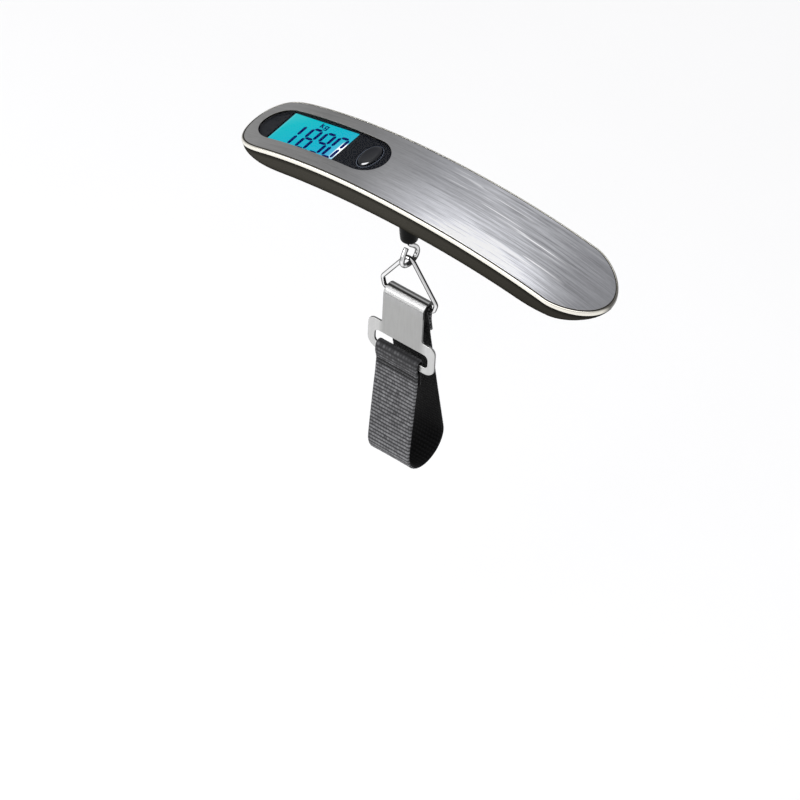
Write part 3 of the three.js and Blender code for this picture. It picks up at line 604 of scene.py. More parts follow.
class Nodes:
    """Builds the node tree of a material or of the world."""

    def __init__(self, owner, output="OutputMaterial"):
        owner.use_nodes = True
        self.owner = owner
        self.tree = owner.node_tree
        self.tree.nodes.clear()
        self.output = self.node(output)

    def node(self, kind, inputs=None, **settings):
        made = self.tree.nodes.new("ShaderNode" + kind)
        for key, setting in settings.items():
            setattr(made, key, setting)
        for key, given in (inputs or {}).items():
            self.feed(made.inputs[key], given)
        return made

    def feed(self, socket, given):
        if isinstance(given, Value):
            self.tree.links.new(given.socket, socket)
        else:
            socket.default_value = rgba(given) if socket.type == "RGBA" else given

    def value(self, kind, inputs=None, output=0, **settings):
        return Value(self, self.node(kind, inputs, **settings).outputs[output])

    def finish(self, surface):
        self.feed(self.output.inputs[0], surface)
        return self.owner

    def math(self, operation, *terms, clamp=False):
        terms = dict(enumerate(terms))
        return self.value("Math", terms, operation=operation, use_clamp=clamp)

    def mix(self, factor, a, b, mode="MIX"):
        inputs = {0: factor, 6: a, 7: b}
        return self.value("Mix", inputs, output=2, data_type="RGBA", blend_type=mode)

    def multiply(self, a, b):
        return self.mix(1.0, a, b, "MULTIPLY")

    def remap(self, value, at, to=(0.0, 1.0)):
        """Map the range at onto the range to, clamped."""
        return self.value("MapRange", dict(enumerate((value, *at, *to))), clamp=True)

    def between(self, value, rise, fall):
        """Rises from 0 to 1 over one range and falls back over another."""
        return self.remap(value, at=rise) * self.remap(value, at=fall, to=(1, 0))

    def coords(self, scale, shift=(0, 0, 0), space="Object"):
        scale = scale if isinstance(scale, tuple) else (scale,) * 3
        source = self.value("TexCoord", output=space)
        return self.value("Mapping", {0: source, "Location": shift, "Scale": scale})

    def noise(self, scale, detail=3.0, rough=0.5, shift=(0, 0, 0), space="Object"):
        """Noise with this many cells to a metre (or to a UV unit)."""
        inputs = {"Vector": self.coords(scale, shift, space), "Scale": 1.0}
        return self.value("TexNoise", {**inputs, "Detail": detail, "Roughness": rough})

    def ramp(self, value, stops):
        made = self.node("ValToRGB", {0: value})
        elements = made.color_ramp.elements
        while len(elements) < len(stops):
            elements.new(0.5)
        for element, (position, colour) in zip(elements, stops):
            element.position = position
            element.color = rgba(colour)
        return Value(self, made.outputs[0])

    def bump(self, height, strength, distance=0.00002):
        inputs = {"Strength": strength, "Distance": distance, "Height": height}
        return self.value("Bump", inputs)

    def principled(self, **inputs):
        inputs = {key.replace("_", " "): given for key, given in inputs.items()}
        return self.value("BsdfPrincipled", inputs)

    def split(self, vector):
        return [Value(self, out) for out in self.node("SeparateXYZ", {0: vector}).outputs]

    def position(self):
        """The object's x, y and z in metres."""
        return self.split(self.value("TexCoord", output="Object"))

    def geometry(self):
        made = self.node("NewGeometry")
        return [Value(self, made.outputs[key]) for key in ("Incoming", "Normal")]

    def reflection(self):
        incoming, normal = self.geometry()
        back = self.value("VectorMath", {0: incoming, "Scale": -1.0}, operation="SCALE")
        return self.value("VectorMath", {0: back, 1: normal}, operation="REFLECT")

    def dot(self, a, b):
        return self.value("VectorMath", {0: a, 1: b}, output="Value", operation="DOT_PRODUCT")

    def studio(self, at, dark):
        """Painted reflection: 1 where the surface mirrors the front, falling to dark where it
        mirrors the back.
        """
        return self.remap(self.split(self.reflection())[1], at=at, to=(1.0, dark))

    def edge(self, radius):
        """Bright on edges, for wear, and for painted edge highlights on the buckle."""
        bevel = self.value("Bevel", {0: radius}, samples=4)
        normal = self.value("NewGeometry", output="Normal")
        return self.math("SUBTRACT", 1.0, self.dot(bevel, normal), clamp=True)

    def facing(self):
        return self.value("LayerWeight", {0: 0.5}, output="Facing")


def material_nodes(name):
    return Nodes(bpy.data.materials.new(name))


NOISE_SPAN = (0.3, 0.7)  # the range most of a noise's values lie in


# ---------------------------------------------------------------- materials
def brushed_steel():
    """Stainless sheet brushed lengthways, with painted reflection: brighter towards the front of its
    middle.
    """
    nodes = material_nodes("cover_steel")
    place = nodes.position()
    x, y = place[0] * 1000, place[1] * 1000
    fine = nodes.noise((75, 2700, 75), detail=2, rough=0.6)
    medium = nodes.noise((34, 980, 34), detail=2, rough=0.65, shift=(3.1, 1.7, 0))
    broad = nodes.noise((17, 420, 17), detail=2, shift=(9.0, 4.2, 0))
    cloud = nodes.noise((26, 75, 26), detail=2, shift=(1.0, 2.0, 0))
    grain = nodes.noise((520, 3400, 520), detail=2, rough=0.6)
    # painted reflection: the tone rises and falls along the sheet
    along = nodes.ramp(nodes.remap(x, at=(-82, 82)), [
        (0.0, 0.33), (0.09, 0.29), (0.15, 0.258), (0.30, 0.268), (0.45, 0.36), (0.53, 0.45),
        (0.63, 0.53), (0.72, 0.48), (0.80, 0.40), (0.90, 0.325), (1.0, 0.265),
    ])
    # painted reflection: lit marks the brighter middle span; middle and band brighten it towards the
    # front
    lit = nodes.between(x, rise=(-22, 30), fall=(52, 80))
    drift = y + (broad - 0.5) * 9.0
    middle = nodes.between(x, rise=(-22, 24), fall=(34, 66)) * nodes.remap(drift, at=(5, -13))
    band = nodes.between(x, rise=(4, 24), fall=(56, 74)) * nodes.remap(drift, at=(-5, -13.5))
    tone = along + middle.scaled(0.42, plus=band * 0.30)
    # the brush lines stand out more where the painted light falls
    weave = (fine - 0.5) * lit.scaled(0.80, plus=0.40)
    weave = weave + (medium - 0.5) * lit.scaled(1.15, plus=0.34)
    weave = weave + (grain - 0.5) * 0.30
    tone = tone * (1.0 + weave)
    tone = tone * nodes.remap(cloud, at=NOISE_SPAN, to=(0.93, 1.07))
    # painted glints: single bright brush lines, in bundles
    bundle = nodes.noise((15, 170, 15), detail=1, shift=(0.4, 7.7, 0))
    line = nodes.noise((36, 1150, 36), detail=0, shift=(5.0, 1.0, 0))
    glint = nodes.remap(line, at=(0.60, 0.66)) * nodes.remap(bundle, at=(0.46, 0.56))
    glint = glint * nodes.between(x, rise=(-2, 24), fall=(52, 66))
    warm, cool = (1.0, 0.995, 0.985), (0.965, 0.975, 1.03)
    base = nodes.multiply(nodes.mix(nodes.remap(x, at=(-50, 0)), warm, cool), tone)
    base = nodes.mix(glint * 0.90, base, (0.98, 0.98, 1.0))
    streak = fine * 0.6 + medium * 0.4
    return nodes.finish(nodes.principled(
        Base_Color=base, Metallic=1.0, Anisotropic=0.6,
        Roughness=nodes.remap(streak, at=NOISE_SPAN, to=(0.42, 0.32)),
        Tangent=nodes.value("CombineXYZ", {0: 1.0}),
        Normal=nodes.bump(streak, strength=0.10),
    ))


def polished_rim():
    """Bright steel with faint lengthways polishing lines, darkened by a painted reflection where it
    mirrors the back.
    """
    nodes = material_nodes("rim_steel")
    lines = nodes.noise((40, 40, 5200), rough=0.6)
    base = nodes.mix(nodes.noise(90), (0.80, 0.77, 0.685), (0.88, 0.855, 0.78))
    return nodes.finish(nodes.principled(
        Base_Color=nodes.multiply(base, nodes.studio(at=(0.15, 0.5), dark=0.18)),
        Metallic=1.0, Roughness=nodes.remap(lines, at=NOISE_SPAN, to=(0.16, 0.27)),
        Normal=nodes.bump(lines, strength=0.08),
    ))


def rim_groove():
    nodes = material_nodes("rim_groove")
    # painted shade: near black in the groove between the cover and its rim, and down the window's
    # edge, mottled by noise
    groove_shade_mottle = nodes.noise(400, rough=0.6)
    return nodes.finish(nodes.principled(
        Base_Color=nodes.mix(groove_shade_mottle, (0.016, 0.014, 0.010), (0.035, 0.031, 0.024)),
        Metallic=0.0, Roughness=0.6, Specular_IOR_Level=0.15,
    ))


def plastic(name, dark, light, rough, grain=900.0, bump=0.25, distance=0.00002,
            specular=0.5, wear=0.0):
    """Grained plastic, clouded between two colours and paler on its edges when worn."""
    nodes = material_nodes(name)
    fine = nodes.noise(grain, detail=4, rough=0.6)
    cloud = nodes.noise(45, rough=0.55)
    base = nodes.mix(cloud, dark, light)
    if wear:
        worn = tuple(min(1, 3.2 * k + 0.03) for k in light)
        base = nodes.mix(nodes.edge(0.00025) * wear, base, worn)
    gloss = nodes.remap(fine, at=NOISE_SPAN, to=(rough - 0.05, rough + 0.06))
    return nodes.finish(nodes.principled(
        Base_Color=base, Roughness=gloss + cloud * 0.05, Specular_IOR_Level=specular,
        Coat_Roughness=0.06, Normal=nodes.bump(fine, bump, distance),
    ))


def casing_plastic():
    """Fine-textured warm black, with painted shade just under the rim and where it turns away."""
    nodes = material_nodes("casing_plastic")
    x, _, z = nodes.position()
    fine = nodes.noise(1500, detail=4, rough=0.6)
    cloud = nodes.noise(45, rough=0.55)
    u = x * (1000 / ARCH_SPAN)
    arch = u.scaled(ARCH[2], plus=ARCH[1])
    arch = u.scaled(arch, plus=ARCH[0])
    arch = (u * u) * arch
    depth = (LIFT - arch) - z * 1000
    # painted shade under the rim: darkest within 2.4 mm of the arch
    clear_of_rim_shade = nodes.remap(depth, at=(2.4, 4.4), to=(0.25, 1.0))
    turned = nodes.remap(nodes.facing(), at=(0.66, 0.90), to=(1.0, 0.08))
    base = nodes.mix(cloud, (0.0095, 0.0086, 0.0062), (0.0145, 0.0132, 0.0100))
    base = nodes.mix(nodes.edge(0.00025) * 0.25, base, (0.07, 0.065, 0.055))
    base = nodes.mix(clear_of_rim_shade, (0.002, 0.002, 0.0015), base)
    # painted shade: the gloss halves towards the plain end
    plain_end = nodes.remap(x, at=(-0.005, 0.065), to=(1.0, 0.5))
    gloss = nodes.mix((clear_of_rim_shade * turned) * plain_end, 0.001, (0.040, 0.038, 0.033))
    normal = nodes.bump(fine, strength=0.22)
    rough = nodes.remap(fine, at=NOISE_SPAN, to=(0.38, 0.50)) + cloud * 0.05
    diffuse = nodes.value("BsdfDiffuse", {"Color": base, "Normal": normal})
    glossy = {"Color": gloss, "Roughness": rough, "Normal": normal}
    glossy = nodes.value("BsdfGlossy", glossy)
    return nodes.finish(nodes.value("AddShader", {0: diffuse, 1: glossy}))


def key_plastic():
    """Glossy black, with a painted highlight: it glows where the surface would mirror a small lamp.
    """
    nodes = material_nodes("button_black")
    fine = nodes.noise(900, detail=4, rough=0.6)
    cloud = nodes.noise(60, rough=0.55)
    # painted highlight: emission where the reflection points nearly straight up
    painted_glint_aim = nodes.dot(nodes.reflection(), (0.02, -0.21, 0.98))
    glow = nodes.remap((fine - 0.5).scaled(0.02, plus=painted_glint_aim), at=(0.890, 0.935))
    return nodes.finish(nodes.principled(
        Base_Color=nodes.mix(cloud, (0.0040, 0.0046, 0.0072), (0.0065, 0.0074, 0.0110)),
        Roughness=nodes.remap(fine, at=NOISE_SPAN, to=(0.16, 0.24)),
        Specular_IOR_Level=0.30, Normal=nodes.bump(fine, strength=0.05, distance=0.00001),
        Emission_Color=(0.96, 0.97, 1.0), Emission_Strength=glow * 0.95,
    ))


def metal(name, dark, light, rough, grain=300, spread=0.06, bump=0.1, wear=0.0, finish=None):
    """Grained metal; spread is how far its roughness varies, finish a change to its colour (on the
    chrome, a painted reflection).
    """
    nodes = material_nodes(name)
    fine = nodes.noise(grain, detail=4, rough=0.6)
    cloud = nodes.noise(80)
    base = nodes.mix(fine, dark, light)
    if wear:
        base = nodes.mix(nodes.edge(0.0002) * wear, base, (0.95, 0.95, 0.94))
    # on the chrome, finish paints a reflection into the colour
    if finish:
        base = finish(nodes, base)
    gloss = nodes.remap(fine, at=NOISE_SPAN, to=(rough - spread, rough + spread))
    return nodes.finish(nodes.principled(
        Base_Color=base, Metallic=1.0, Roughness=gloss + cloud * 0.04,
        Normal=nodes.bump(fine, bump),
    ))


def painted_wire_reflection(nodes, base):
    """Painted reflection: dark as if mirroring a dark room at the wire's edges, pale along its
    middle as if mirroring the pale floor.
    """
    incoming, normal = nodes.geometry()
    way = nodes.value("Attribute", output="Vector", attribute_name="along")
    way = nodes.value("VectorTransform", {0: way}, vector_type="VECTOR",
                      convert_from="OBJECT", convert_to="WORLD")
    lengthways = nodes.dot(way, incoming)
    head_on = abs(nodes.dot(normal, incoming))
    tilt = nodes.math("MAXIMUM", 1.0 - lengthways * lengthways, 0.04)
    across = head_on / nodes.math("SQRT", tilt)
    up = nodes.split(nodes.reflection())[2]
    middle = nodes.remap(across, at=(0.80, 0.94), to=(0.0, 0.85))
    middle = middle * nodes.remap(up, at=(-0.2, -0.5))
    studio = nodes.studio(at=(-0.22, 0.16), dark=0.035)
    base = nodes.multiply(base, nodes.math("MAXIMUM", studio, middle))
    return nodes.mix(nodes.remap(across, at=(0.90, 0.66), to=(0.0, 0.98)), base, 0.008)


def buckle_steel():
    """Satin plated sheet: grey on the plate, painted brighter on its cross piece, foot and roll."""
    nodes = material_nodes("buckle_steel")
    place = nodes.position()
    z = place[2] * 1000 - (LIFT + BAR_Z)
    side = abs(place[0] * 1000 - HOOK_X)
    fine = nodes.noise((420, 420, 160), detail=4, rough=0.6)
    cloud = nodes.noise(80)
    line = nodes.noise((1500, 1500, 40), detail=2)
    base = nodes.mix(fine, (0.335, 0.335, 0.33), (0.385, 0.385, 0.38))
    # painted light: brighter on the sides of the cross piece and on the foot bar
    painted_brightening = nodes.remap(side, at=(8.6, 11.5), to=(0.0, 0.75))
    painted_brightening = painted_brightening * nodes.remap(z, at=(-13.0, -15.5))
    foot = nodes.remap(z, at=(-24.6, -26.6), to=(0.0, 0.7))
    base = nodes.mix(nodes.math("MAXIMUM", painted_brightening, foot), base, (0.60, 0.60, 0.595))
    mirrored = nodes.split(nodes.reflection())
    # painted reflection: the roll is bright only where it would mirror the lamps, on its upper slope
    roll = nodes.ramp(nodes.remap(mirrored[2], at=(-1.0, 1.0)), [
        (0.0, 0.38), (0.30, 0.36), (0.50, 0.26), (0.61, 0.16), (0.70, 0.22), (0.79, 0.98),
        (1.0, 0.98),
    ])
    base = nodes.mix(nodes.remap(z, at=(-2.6, -0.6)), base, roll)
    # painted shade: the sideways faces of the roll are dark
    normal_x = nodes.split(nodes.value("NewGeometry", output="Normal"))[0]
    cut = nodes.remap(abs(normal_x), at=(0.45, 0.7), to=(0.0, 0.94))
    cut = cut * nodes.remap(z, at=(-3.2, -2.2))
    base = nodes.mix(nodes.remap(line, at=(0.35, 0.7), to=(0.0, 0.16)), base, 0.24)
    # painted highlights on the edges
    base = nodes.mix(nodes.edge(0.0004) * 0.9, base, (0.97, 0.97, 0.96))
    base = nodes.mix(cut, base, 0.02)
    # painted reflection: darker where the surface mirrors the back
    painted_room_tint = nodes.ramp(nodes.remap(mirrored[1], at=(-1.0, 1.0)), [
        (0.0, 1.0), (0.45, 1.0), (0.545, 0.07), (0.70, 0.07), (0.79, 0.50), (1.0, 0.50),
    ])
    base = nodes.multiply(base, painted_room_tint)
    # painted shade where the surface turns away from view
    base = nodes.mix(nodes.remap(nodes.facing(), at=(0.56, 0.80), to=(0.0, 0.9)), base, 0.01)
    rough = nodes.remap(fine, at=NOISE_SPAN, to=(0.27, 0.37)) + cloud * 0.04
    return nodes.finish(nodes.principled(
        Base_Color=base, Metallic=1.0, Roughness=rough, Normal=nodes.bump(fine, strength=0.10)
    ))


def clear_lens():
    """A see-through pane with a glossy outer face and faint smudges."""
    nodes = material_nodes("lens_clear")
    fresnel = nodes.value("Fresnel", {0: 1.49})
    smudge = nodes.noise(160, detail=4, rough=0.6)
    clear = nodes.value("BsdfTransparent", {0: (0.97, 0.985, 0.99)})
    rough = nodes.remap(smudge, at=(0.35, 0.7), to=(0.02, 0.09))
    glossy = nodes.value("BsdfGlossy", {"Roughness": rough})
    outer = 1.0 - nodes.value("NewGeometry", output="Backfacing")
    factor = (fresnel * 0.20) * outer
    return nodes.finish(nodes.value("MixShader", {0: factor, 1: clear, 2: glossy}))


def lcd_face():
    """The lit display: cyan, deeper to the front right, with light leaking in at the right."""
    nodes = material_nodes("lcd_face")
    place = nodes.position()
    x, y = place[0] * 1000, place[1] * 1000
    across = nodes.remap(x - y * 0.9, at=(-74, -36))
    speck = nodes.noise(2600, detail=2)
    soft = nodes.noise(120, detail=2)
    base = nodes.ramp(across, [
        (0.0, (0.035, 0.62, 0.65)), (0.14, (0.0, 0.58, 0.64)), (0.45, (0.0, 0.53, 0.66)),
        (0.78, (0.0, 0.50, 0.68)), (1.0, (0.030, 0.42, 0.80)),
    ])
    cloud = nodes.remap(soft, at=(0.35, 0.65), to=(0.0, 0.22))
    base = nodes.mix(cloud, base, (0.0, 0.58, 0.68))
    left = nodes.remap(x, at=(-68.6, -70.0), to=(0.0, 0.55))
    left = left * nodes.remap(y, at=(-8.0, 0.0), to=(0.4, 1.0))
    base = nodes.mix(left, base, (0.30, 0.80, 0.86))
    base = nodes.mix(nodes.remap(speck, at=NOISE_SPAN, to=(0.0, 0.10)), base, (0.02, 0.42, 0.56))
    span = nodes.remap(y, at=(-7.6, -3.2), to=(0.22, 1.0))
    span = span * nodes.remap(y, at=(1.4, 3.2), to=(1.0, 0.0))
    leak = nodes.remap(x, at=(-41.55, -40.9)) * span
    glow = nodes.remap(x, at=(-45.0, -41.0), to=(0.0, 0.35))
    glow = glow * nodes.remap(y, at=(-2.0, 6.0), to=(1.0, 0.1))
    base = nodes.mix(glow, base, (0.25, 0.75, 0.95))
    base = nodes.mix(leak, base, 1.0)
    light = nodes.value("Emission", {0: base, 1: leak.scaled(0.5, plus=0.92)})
    glossy = nodes.value("BsdfGlossy", {"Color": 0.5, "Roughness": 0.25})
    return nodes.finish(nodes.value("MixShader", {0: 0.02, 1: light, 2: glossy}))


def lcd_segment():
    nodes = material_nodes("lcd_segment")
    colour = nodes.mix(nodes.noise(900, detail=2), (0.0, 0.004, 0.085), (0.001, 0.010, 0.14))
    return nodes.finish(nodes.value("Emission", {0: colour, 1: 1.0}))


def webbing(name, valley, yarn, high, sheen, specular=0.3):
    """Woven polyester: colour from the modelled rib height, with painted shade in the valleys; fine
    yarn twist from bump.
    """
    nodes = material_nodes(name)
    rib = nodes.value("Attribute", output="Fac", attribute_name="weave")
    wave = {"Vector": nodes.coords(1.0, space="UV"), "Scale": 2.4}
    wave.update({"Distortion": 2.5, "Detail": 2.0})
    twist = nodes.value("TexWave", wave, output=1, wave_type="BANDS", bands_direction="DIAGONAL")
    fibre = nodes.noise((3.0, 9.0, 1.0), detail=4, rough=0.65, space="UV")
    blot = nodes.noise((0.12, 0.2, 1.0), space="UV")
    height = nodes.math("ADD", rib, (fibre - 0.5) * 0.35, clamp=True)
    # colour by rib height: uneven yarn tone, and painted shade where the ribs dip
    colour = nodes.ramp(height, [(0.0, valley), (0.5, yarn), (1.0, high)])
    dulled = tuple(0.6 * k for k in yarn)
    colour = nodes.mix(nodes.remap(blot, at=NOISE_SPAN, to=(0.0, 0.28)), colour, dulled)
    return nodes.finish(nodes.principled(
        Base_Color=colour, Roughness=nodes.remap(fibre, at=NOISE_SPAN, to=(0.66, 0.88)),
        Specular_IOR_Level=specular, Sheen_Weight=sheen, Sheen_Roughness=0.4,
        Normal=nodes.bump(twist * 0.5 + fibre, strength=0.6, distance=0.00008),
    ))


def circuit_board():
    nodes = material_nodes("board")
    cells = {"Vector": nodes.coords(420), "Scale": 1.0}
    cells = nodes.value("TexVoronoi", cells, feature="DISTANCE_TO_EDGE")
    track = nodes.remap(cells, at=(0.03, 0.06), to=(1.0, 0.0))
    base = nodes.mix(nodes.noise(300), (0.012, 0.12, 0.05), (0.02, 0.17, 0.07))
    base = nodes.mix(track * 0.6, base, (0.05, 0.30, 0.12))
    return nodes.finish(nodes.principled(
        Base_Color=base, Roughness=0.35,
        Normal=nodes.bump(track, strength=0.2, distance=0.00003),
    ))


STEEL = brushed_steel()
POLISH = polished_rim()
GROOVE = rim_groove()
CASING = casing_plastic()
INNER = plastic("inner_plastic", dark=(0.020, 0.020, 0.021), light=(0.030, 0.030, 0.031),
                rough=0.5, grain=1100, bump=0.2)
COLLAR = plastic("collar_plastic", dark=(0.0020,) * 3, light=(0.0042,) * 3, rough=0.26,
                 grain=1500, bump=0.10, distance=0.00001, specular=0.04, wear=0.10)
GLOSS = plastic("window_black", dark=(0.0032, 0.0036, 0.0060), light=(0.0058, 0.0064, 0.0100),
                rough=0.30, grain=700, bump=0.04, distance=0.00001, specular=0.06)
# painted highlight: the button's lip is paler than the window's black, for the light its raised edge
# catches
LIP = plastic("window_lip", dark=(0.055, 0.061, 0.084), light=(0.075, 0.083, 0.112),
              rough=0.28, grain=900, bump=0.05, distance=0.00001, specular=0.30)
KEY = key_plastic()
# the chrome's colour carries a painted reflection
CHROME = metal("chrome", dark=(0.74, 0.74, 0.745), light=(0.84, 0.84, 0.84), rough=0.09,
               grain=260, spread=0.03, bump=0.05, finish=painted_wire_reflection)
SATIN = buckle_steel()
ZINC = metal("zinc", dark=(0.50, 0.51, 0.52), light=(0.62, 0.62, 0.62), rough=0.32)
BLACK_SCREW = metal("black_oxide", dark=(0.05,) * 3, light=(0.09,) * 3, rough=0.38, wear=0.6)
LENS = clear_lens()
LCD_FACE = lcd_face()
SEGMENT = lcd_segment()
WEB_OUT = webbing("webbing_face", valley=(0.0060, 0.0060, 0.0065), yarn=(0.041, 0.041, 0.044),
                  high=(0.218, 0.218, 0.227), sheen=0.08)
# painted shade: the strap's inner face is a darker copy of the same webbing
WEB_IN = webbing("webbing_back", valley=(0.0015, 0.0015, 0.0016), high=(0.016, 0.016, 0.017),
                 yarn=(0.0045, 0.0045, 0.0048), sheen=0.02, specular=0.12)
THREAD = plastic("thread", dark=(0.010, 0.010, 0.011), light=(0.03, 0.03, 0.032), rough=0.7,
                 grain=2400, bump=0.5, distance=0.00004)
BOARD = circuit_board()

SLOT_MATERIALS = {
    "brushed_cover": STEEL,
    "satin_steel": SATIN,
    "chrome_wire": CHROME,
    "casing_black": CASING,
    "inner_plastic": INNER,
    "collar_black": COLLAR,
    "gloss_black": GLOSS,
    "button_black": KEY,
    "clear_lens": LENS,
    "lcd": LCD_FACE,
    "backlight": plastic("backlight_white", dark=(0.75, 0.82, 0.86), light=(0.85, 0.9, 0.93),
                         rough=0.35, grain=600, bump=0.1),
    "pink_rubber": plastic("zebra_rubber", dark=(0.45, 0.22, 0.24), light=(0.55, 0.30, 0.32),
                           rough=0.6, grain=1400, bump=0.3),
    "board_green": BOARD,
    "switch_metal": metal("switch_metal", dark=(0.30, 0.30, 0.31), light=(0.42, 0.42, 0.43),
                          rough=0.35),
    "ivory_plastic": plastic("ivory", dark=(0.60, 0.56, 0.46), light=(0.70, 0.66, 0.56),
                             rough=0.45, bump=0.15),
    "zinc_steel": ZINC,
    "black_screw": BLACK_SCREW,
    "cell_aluminium": metal("beam_aluminium", dark=(0.62, 0.63, 0.65),
                            light=(0.74, 0.75, 0.76), rough=0.33, grain=(60, 2600, 2600),
                            spread=0.08, bump=0.2, wear=0.4),
    "gauge_foil": plastic("gauge_film", dark=(0.42, 0.20, 0.05), light=(0.55, 0.28, 0.08),
                          rough=0.3, grain=1600, bump=0.2),
    "cell_can": metal("cell_can", dark=(0.58, 0.58, 0.59), light=(0.72, 0.72, 0.72),
                      rough=0.24, grain=(900, 900, 200), spread=0.05, bump=0.15),
    "contact_brass": metal("contact_brass", dark=(0.60, 0.44, 0.16), light=(0.76, 0.58, 0.26),
                           rough=0.28, grain=(900, 300, 900), spread=0.06, bump=0.1),
    "red_wire": plastic("red_wire", dark=(0.40, 0.02, 0.02), light=(0.52, 0.04, 0.03),
                        rough=0.45, bump=0.1),
    "black_wire": plastic("black_wire", dark=(0.012,) * 3, light=(0.02,) * 3, rough=0.45,
                          bump=0.1),
    "grey_wire": plastic("grey_wire", dark=(0.42,) * 3, light=(0.52,) * 3, rough=0.45, bump=0.1),
    "webbing": WEB_OUT,
}
for row in frame["record"]["subparts"]:
    cad_mesh = frame["nodes"][row["node"]].data
    cad_mesh.materials.clear()
    cad_mesh.materials.append(SLOT_MATERIALS[row["material_slot"]])
    for polygon in cad_mesh.polygons:
        polygon.material_index = 0


# ---------------------------------------------------------------- steel cover
BRUSHED, POLISHED, GROOVED = 0, 1, 2  # the cover's material slots
# Edge from the top face, over a groove and round the rim, to the underside:
# inset from the outline, drop below the arch, material of the band that ends there
COVER_EDGE = [
    (1.14, 0.0, BRUSHED), (1.03, 0.0, BRUSHED), (0.985, 0.03, BRUSHED),
    (0.955, 0.10, GROOVED), (0.94, 0.26, GROOVED), (0.89, 0.33, GROOVED),
    (0.67, 0.34, GROOVED), (0.62, 0.28, GROOVED), (0.605, 0.17, GROOVED),
    (0.56, 0.12, POLISHED), (0.48, 0.10, POLISHED), (0.36, 0.115, POLISHED),
    (0.22, 0.17, POLISHED), (0.10, 0.28, POLISHED), (0.035, 0.42, POLISHED),
    (0.0, 0.62, POLISHED), (-0.01, 1.0, POLISHED), (0.0, 1.4, POLISHED),
    (0.03, 1.7, POLISHED), (0.09, 1.88, POLISHED), (0.19, 1.97, POLISHED),
    (0.30, RIM, POLISHED), (0.48, RIM, POLISHED), (0.57, 1.96, POLISHED),
    (0.60, 1.86, POLISHED), (0.60, 1.2, POLISHED), (0.66, 0.66, POLISHED),
]
# The window's edge: growth beyond its radius, drop, material
COVER_HOLE = [
    (0.16, 0.0, BRUSHED), (0.07, 0.02, BRUSHED), (0.02, 0.07, BRUSHED),
    (0.0, 0.16, GROOVED), (0.0, 0.48, GROOVED), (0.05, 0.6, GROOVED),
]
PLATE_STEP = 1.6  # grid step for filling the arched plates


def steel_cover():
    outer_count, hole_count = len(OUTLINE), 200
    verts, faces, ids = [], [], []

    def add(points, drop):
        verts.extend((x, y, z) for (x, y), z in zip(points, ztop(points[:, 0]) - drop))
        return len(verts) - len(points)

    def add_bands(starts, profile, count, down):
        for first, second, (_, _, finish) in zip(starts, starts[1:], profile[1:]):
            faces.extend(ring_quads(first, second, count, down))
            ids.extend([finish] * count)

    def hole_ring(grow):
        return window_ring(WINDOW["r"] + grow, hole_count)

    outer = [add(OUTLINE - inset * OUTLINE_NORMALS, drop) for inset, drop, _ in COVER_EDGE]
    add_bands(outer, COVER_EDGE, outer_count, down=True)
    hole = [add(hole_ring(grow), drop) for grow, drop, _ in COVER_HOLE]
    add_bands(hole, COVER_HOLE, hole_count, down=False)
    top_edge = OUTLINE - COVER_EDGE[0][0] * OUTLINE_NORMALS
    points, triangles = fill_region(top_edge, [hole_ring(COVER_HOLE[0][0])], PLATE_STEP)
    interior = points[outer_count + hole_count :]
    for end, drop, finish, turn in ((0, 0.0, BRUSHED, 1), (-1, SHEET, POLISHED, -1)):
        runs = [(outer[end], outer_count), (hole[end], hole_count)]
        runs.append((add(interior, drop), len(interior)))
        faces += [face[::turn] for face in cap_faces(triangles, runs)]
        ids += [finish] * len(triangles)
    make("steel_top_cover_skin", (verts, faces), [STEEL, POLISH, GROOVE], "scale_body",
         "steel_top_cover", tidy=False, material_ids=ids, sharp=60)


steel_cover()


# ---------------------------------------------------------------- casing
def cross_section(half, depth, count):
    """Points evenly spaced round half a superellipse, cut off GAP below its flat side."""
    cut = min(0.98, GAP / depth)
    start = math.asin(cut ** (HULL_POWER / 2))
    t = np.linspace(math.pi - start, start, 700)
    cosine, sine = np.cos(t), np.sin(t)
    y = half * np.sign(cosine) * np.abs(cosine) ** (2 / HULL_POWER)
    z = depth * np.abs(sine) ** (2 / HULL_POWER)
    run = np.concatenate([[0], np.cumsum(np.hypot(np.diff(y), np.diff(z)))])
    places = np.linspace(0, run[-1], count)
    return np.interp(places, run, y), np.interp(places, run, z)


def hull_rings(inset, thinner, rows, across):
    """Sections of the casing from the display end to the plain end."""
    width_at = offset_half_width(inset)
    low, high = -HALF + inset, HALF - inset
    xs = (low + high) / 2 - (high - low) / 2 * np.cos(np.linspace(0, np.pi, rows))
    xs[0] += 0.01
    xs[-1] -= 0.01
    rings = []
    for x in xs:
        half = max(0.3, float(width_at(x)))
        depth = float(hull_depth(np.clip(x, -HALF + 0.05, HALF - 0.05))) - thinner
        depth = max(0.34 + 0.1 * (thinner == 0), depth)
        top = float(ztop(x))
        ys, zs = cross_section(half, depth, across)
        rings.append([(x, y, top - RIM - z) for y, z in zip(ys, zs)])
    return rings


def hull_skins(rows, across):
    """The casing's outer and inner skins."""
    outer = hull_rings(CASING_INSET, 0.0, rows, across)
    return outer, hull_rings(CASING_INSET + SHELL, SHELL, rows, across)


def skin_row(row, across, base):
    """One row's quads on the outer skin and on the inner one, whose vertices start at base."""
    faces = []
    for a in range(row * across, (row + 1) * across - 1):
        faces.append((a, a + 1, a + across + 1, a + across))
        b = base + a
        faces.append((b, b + across, b + across + 1, b + 1))
    return faces


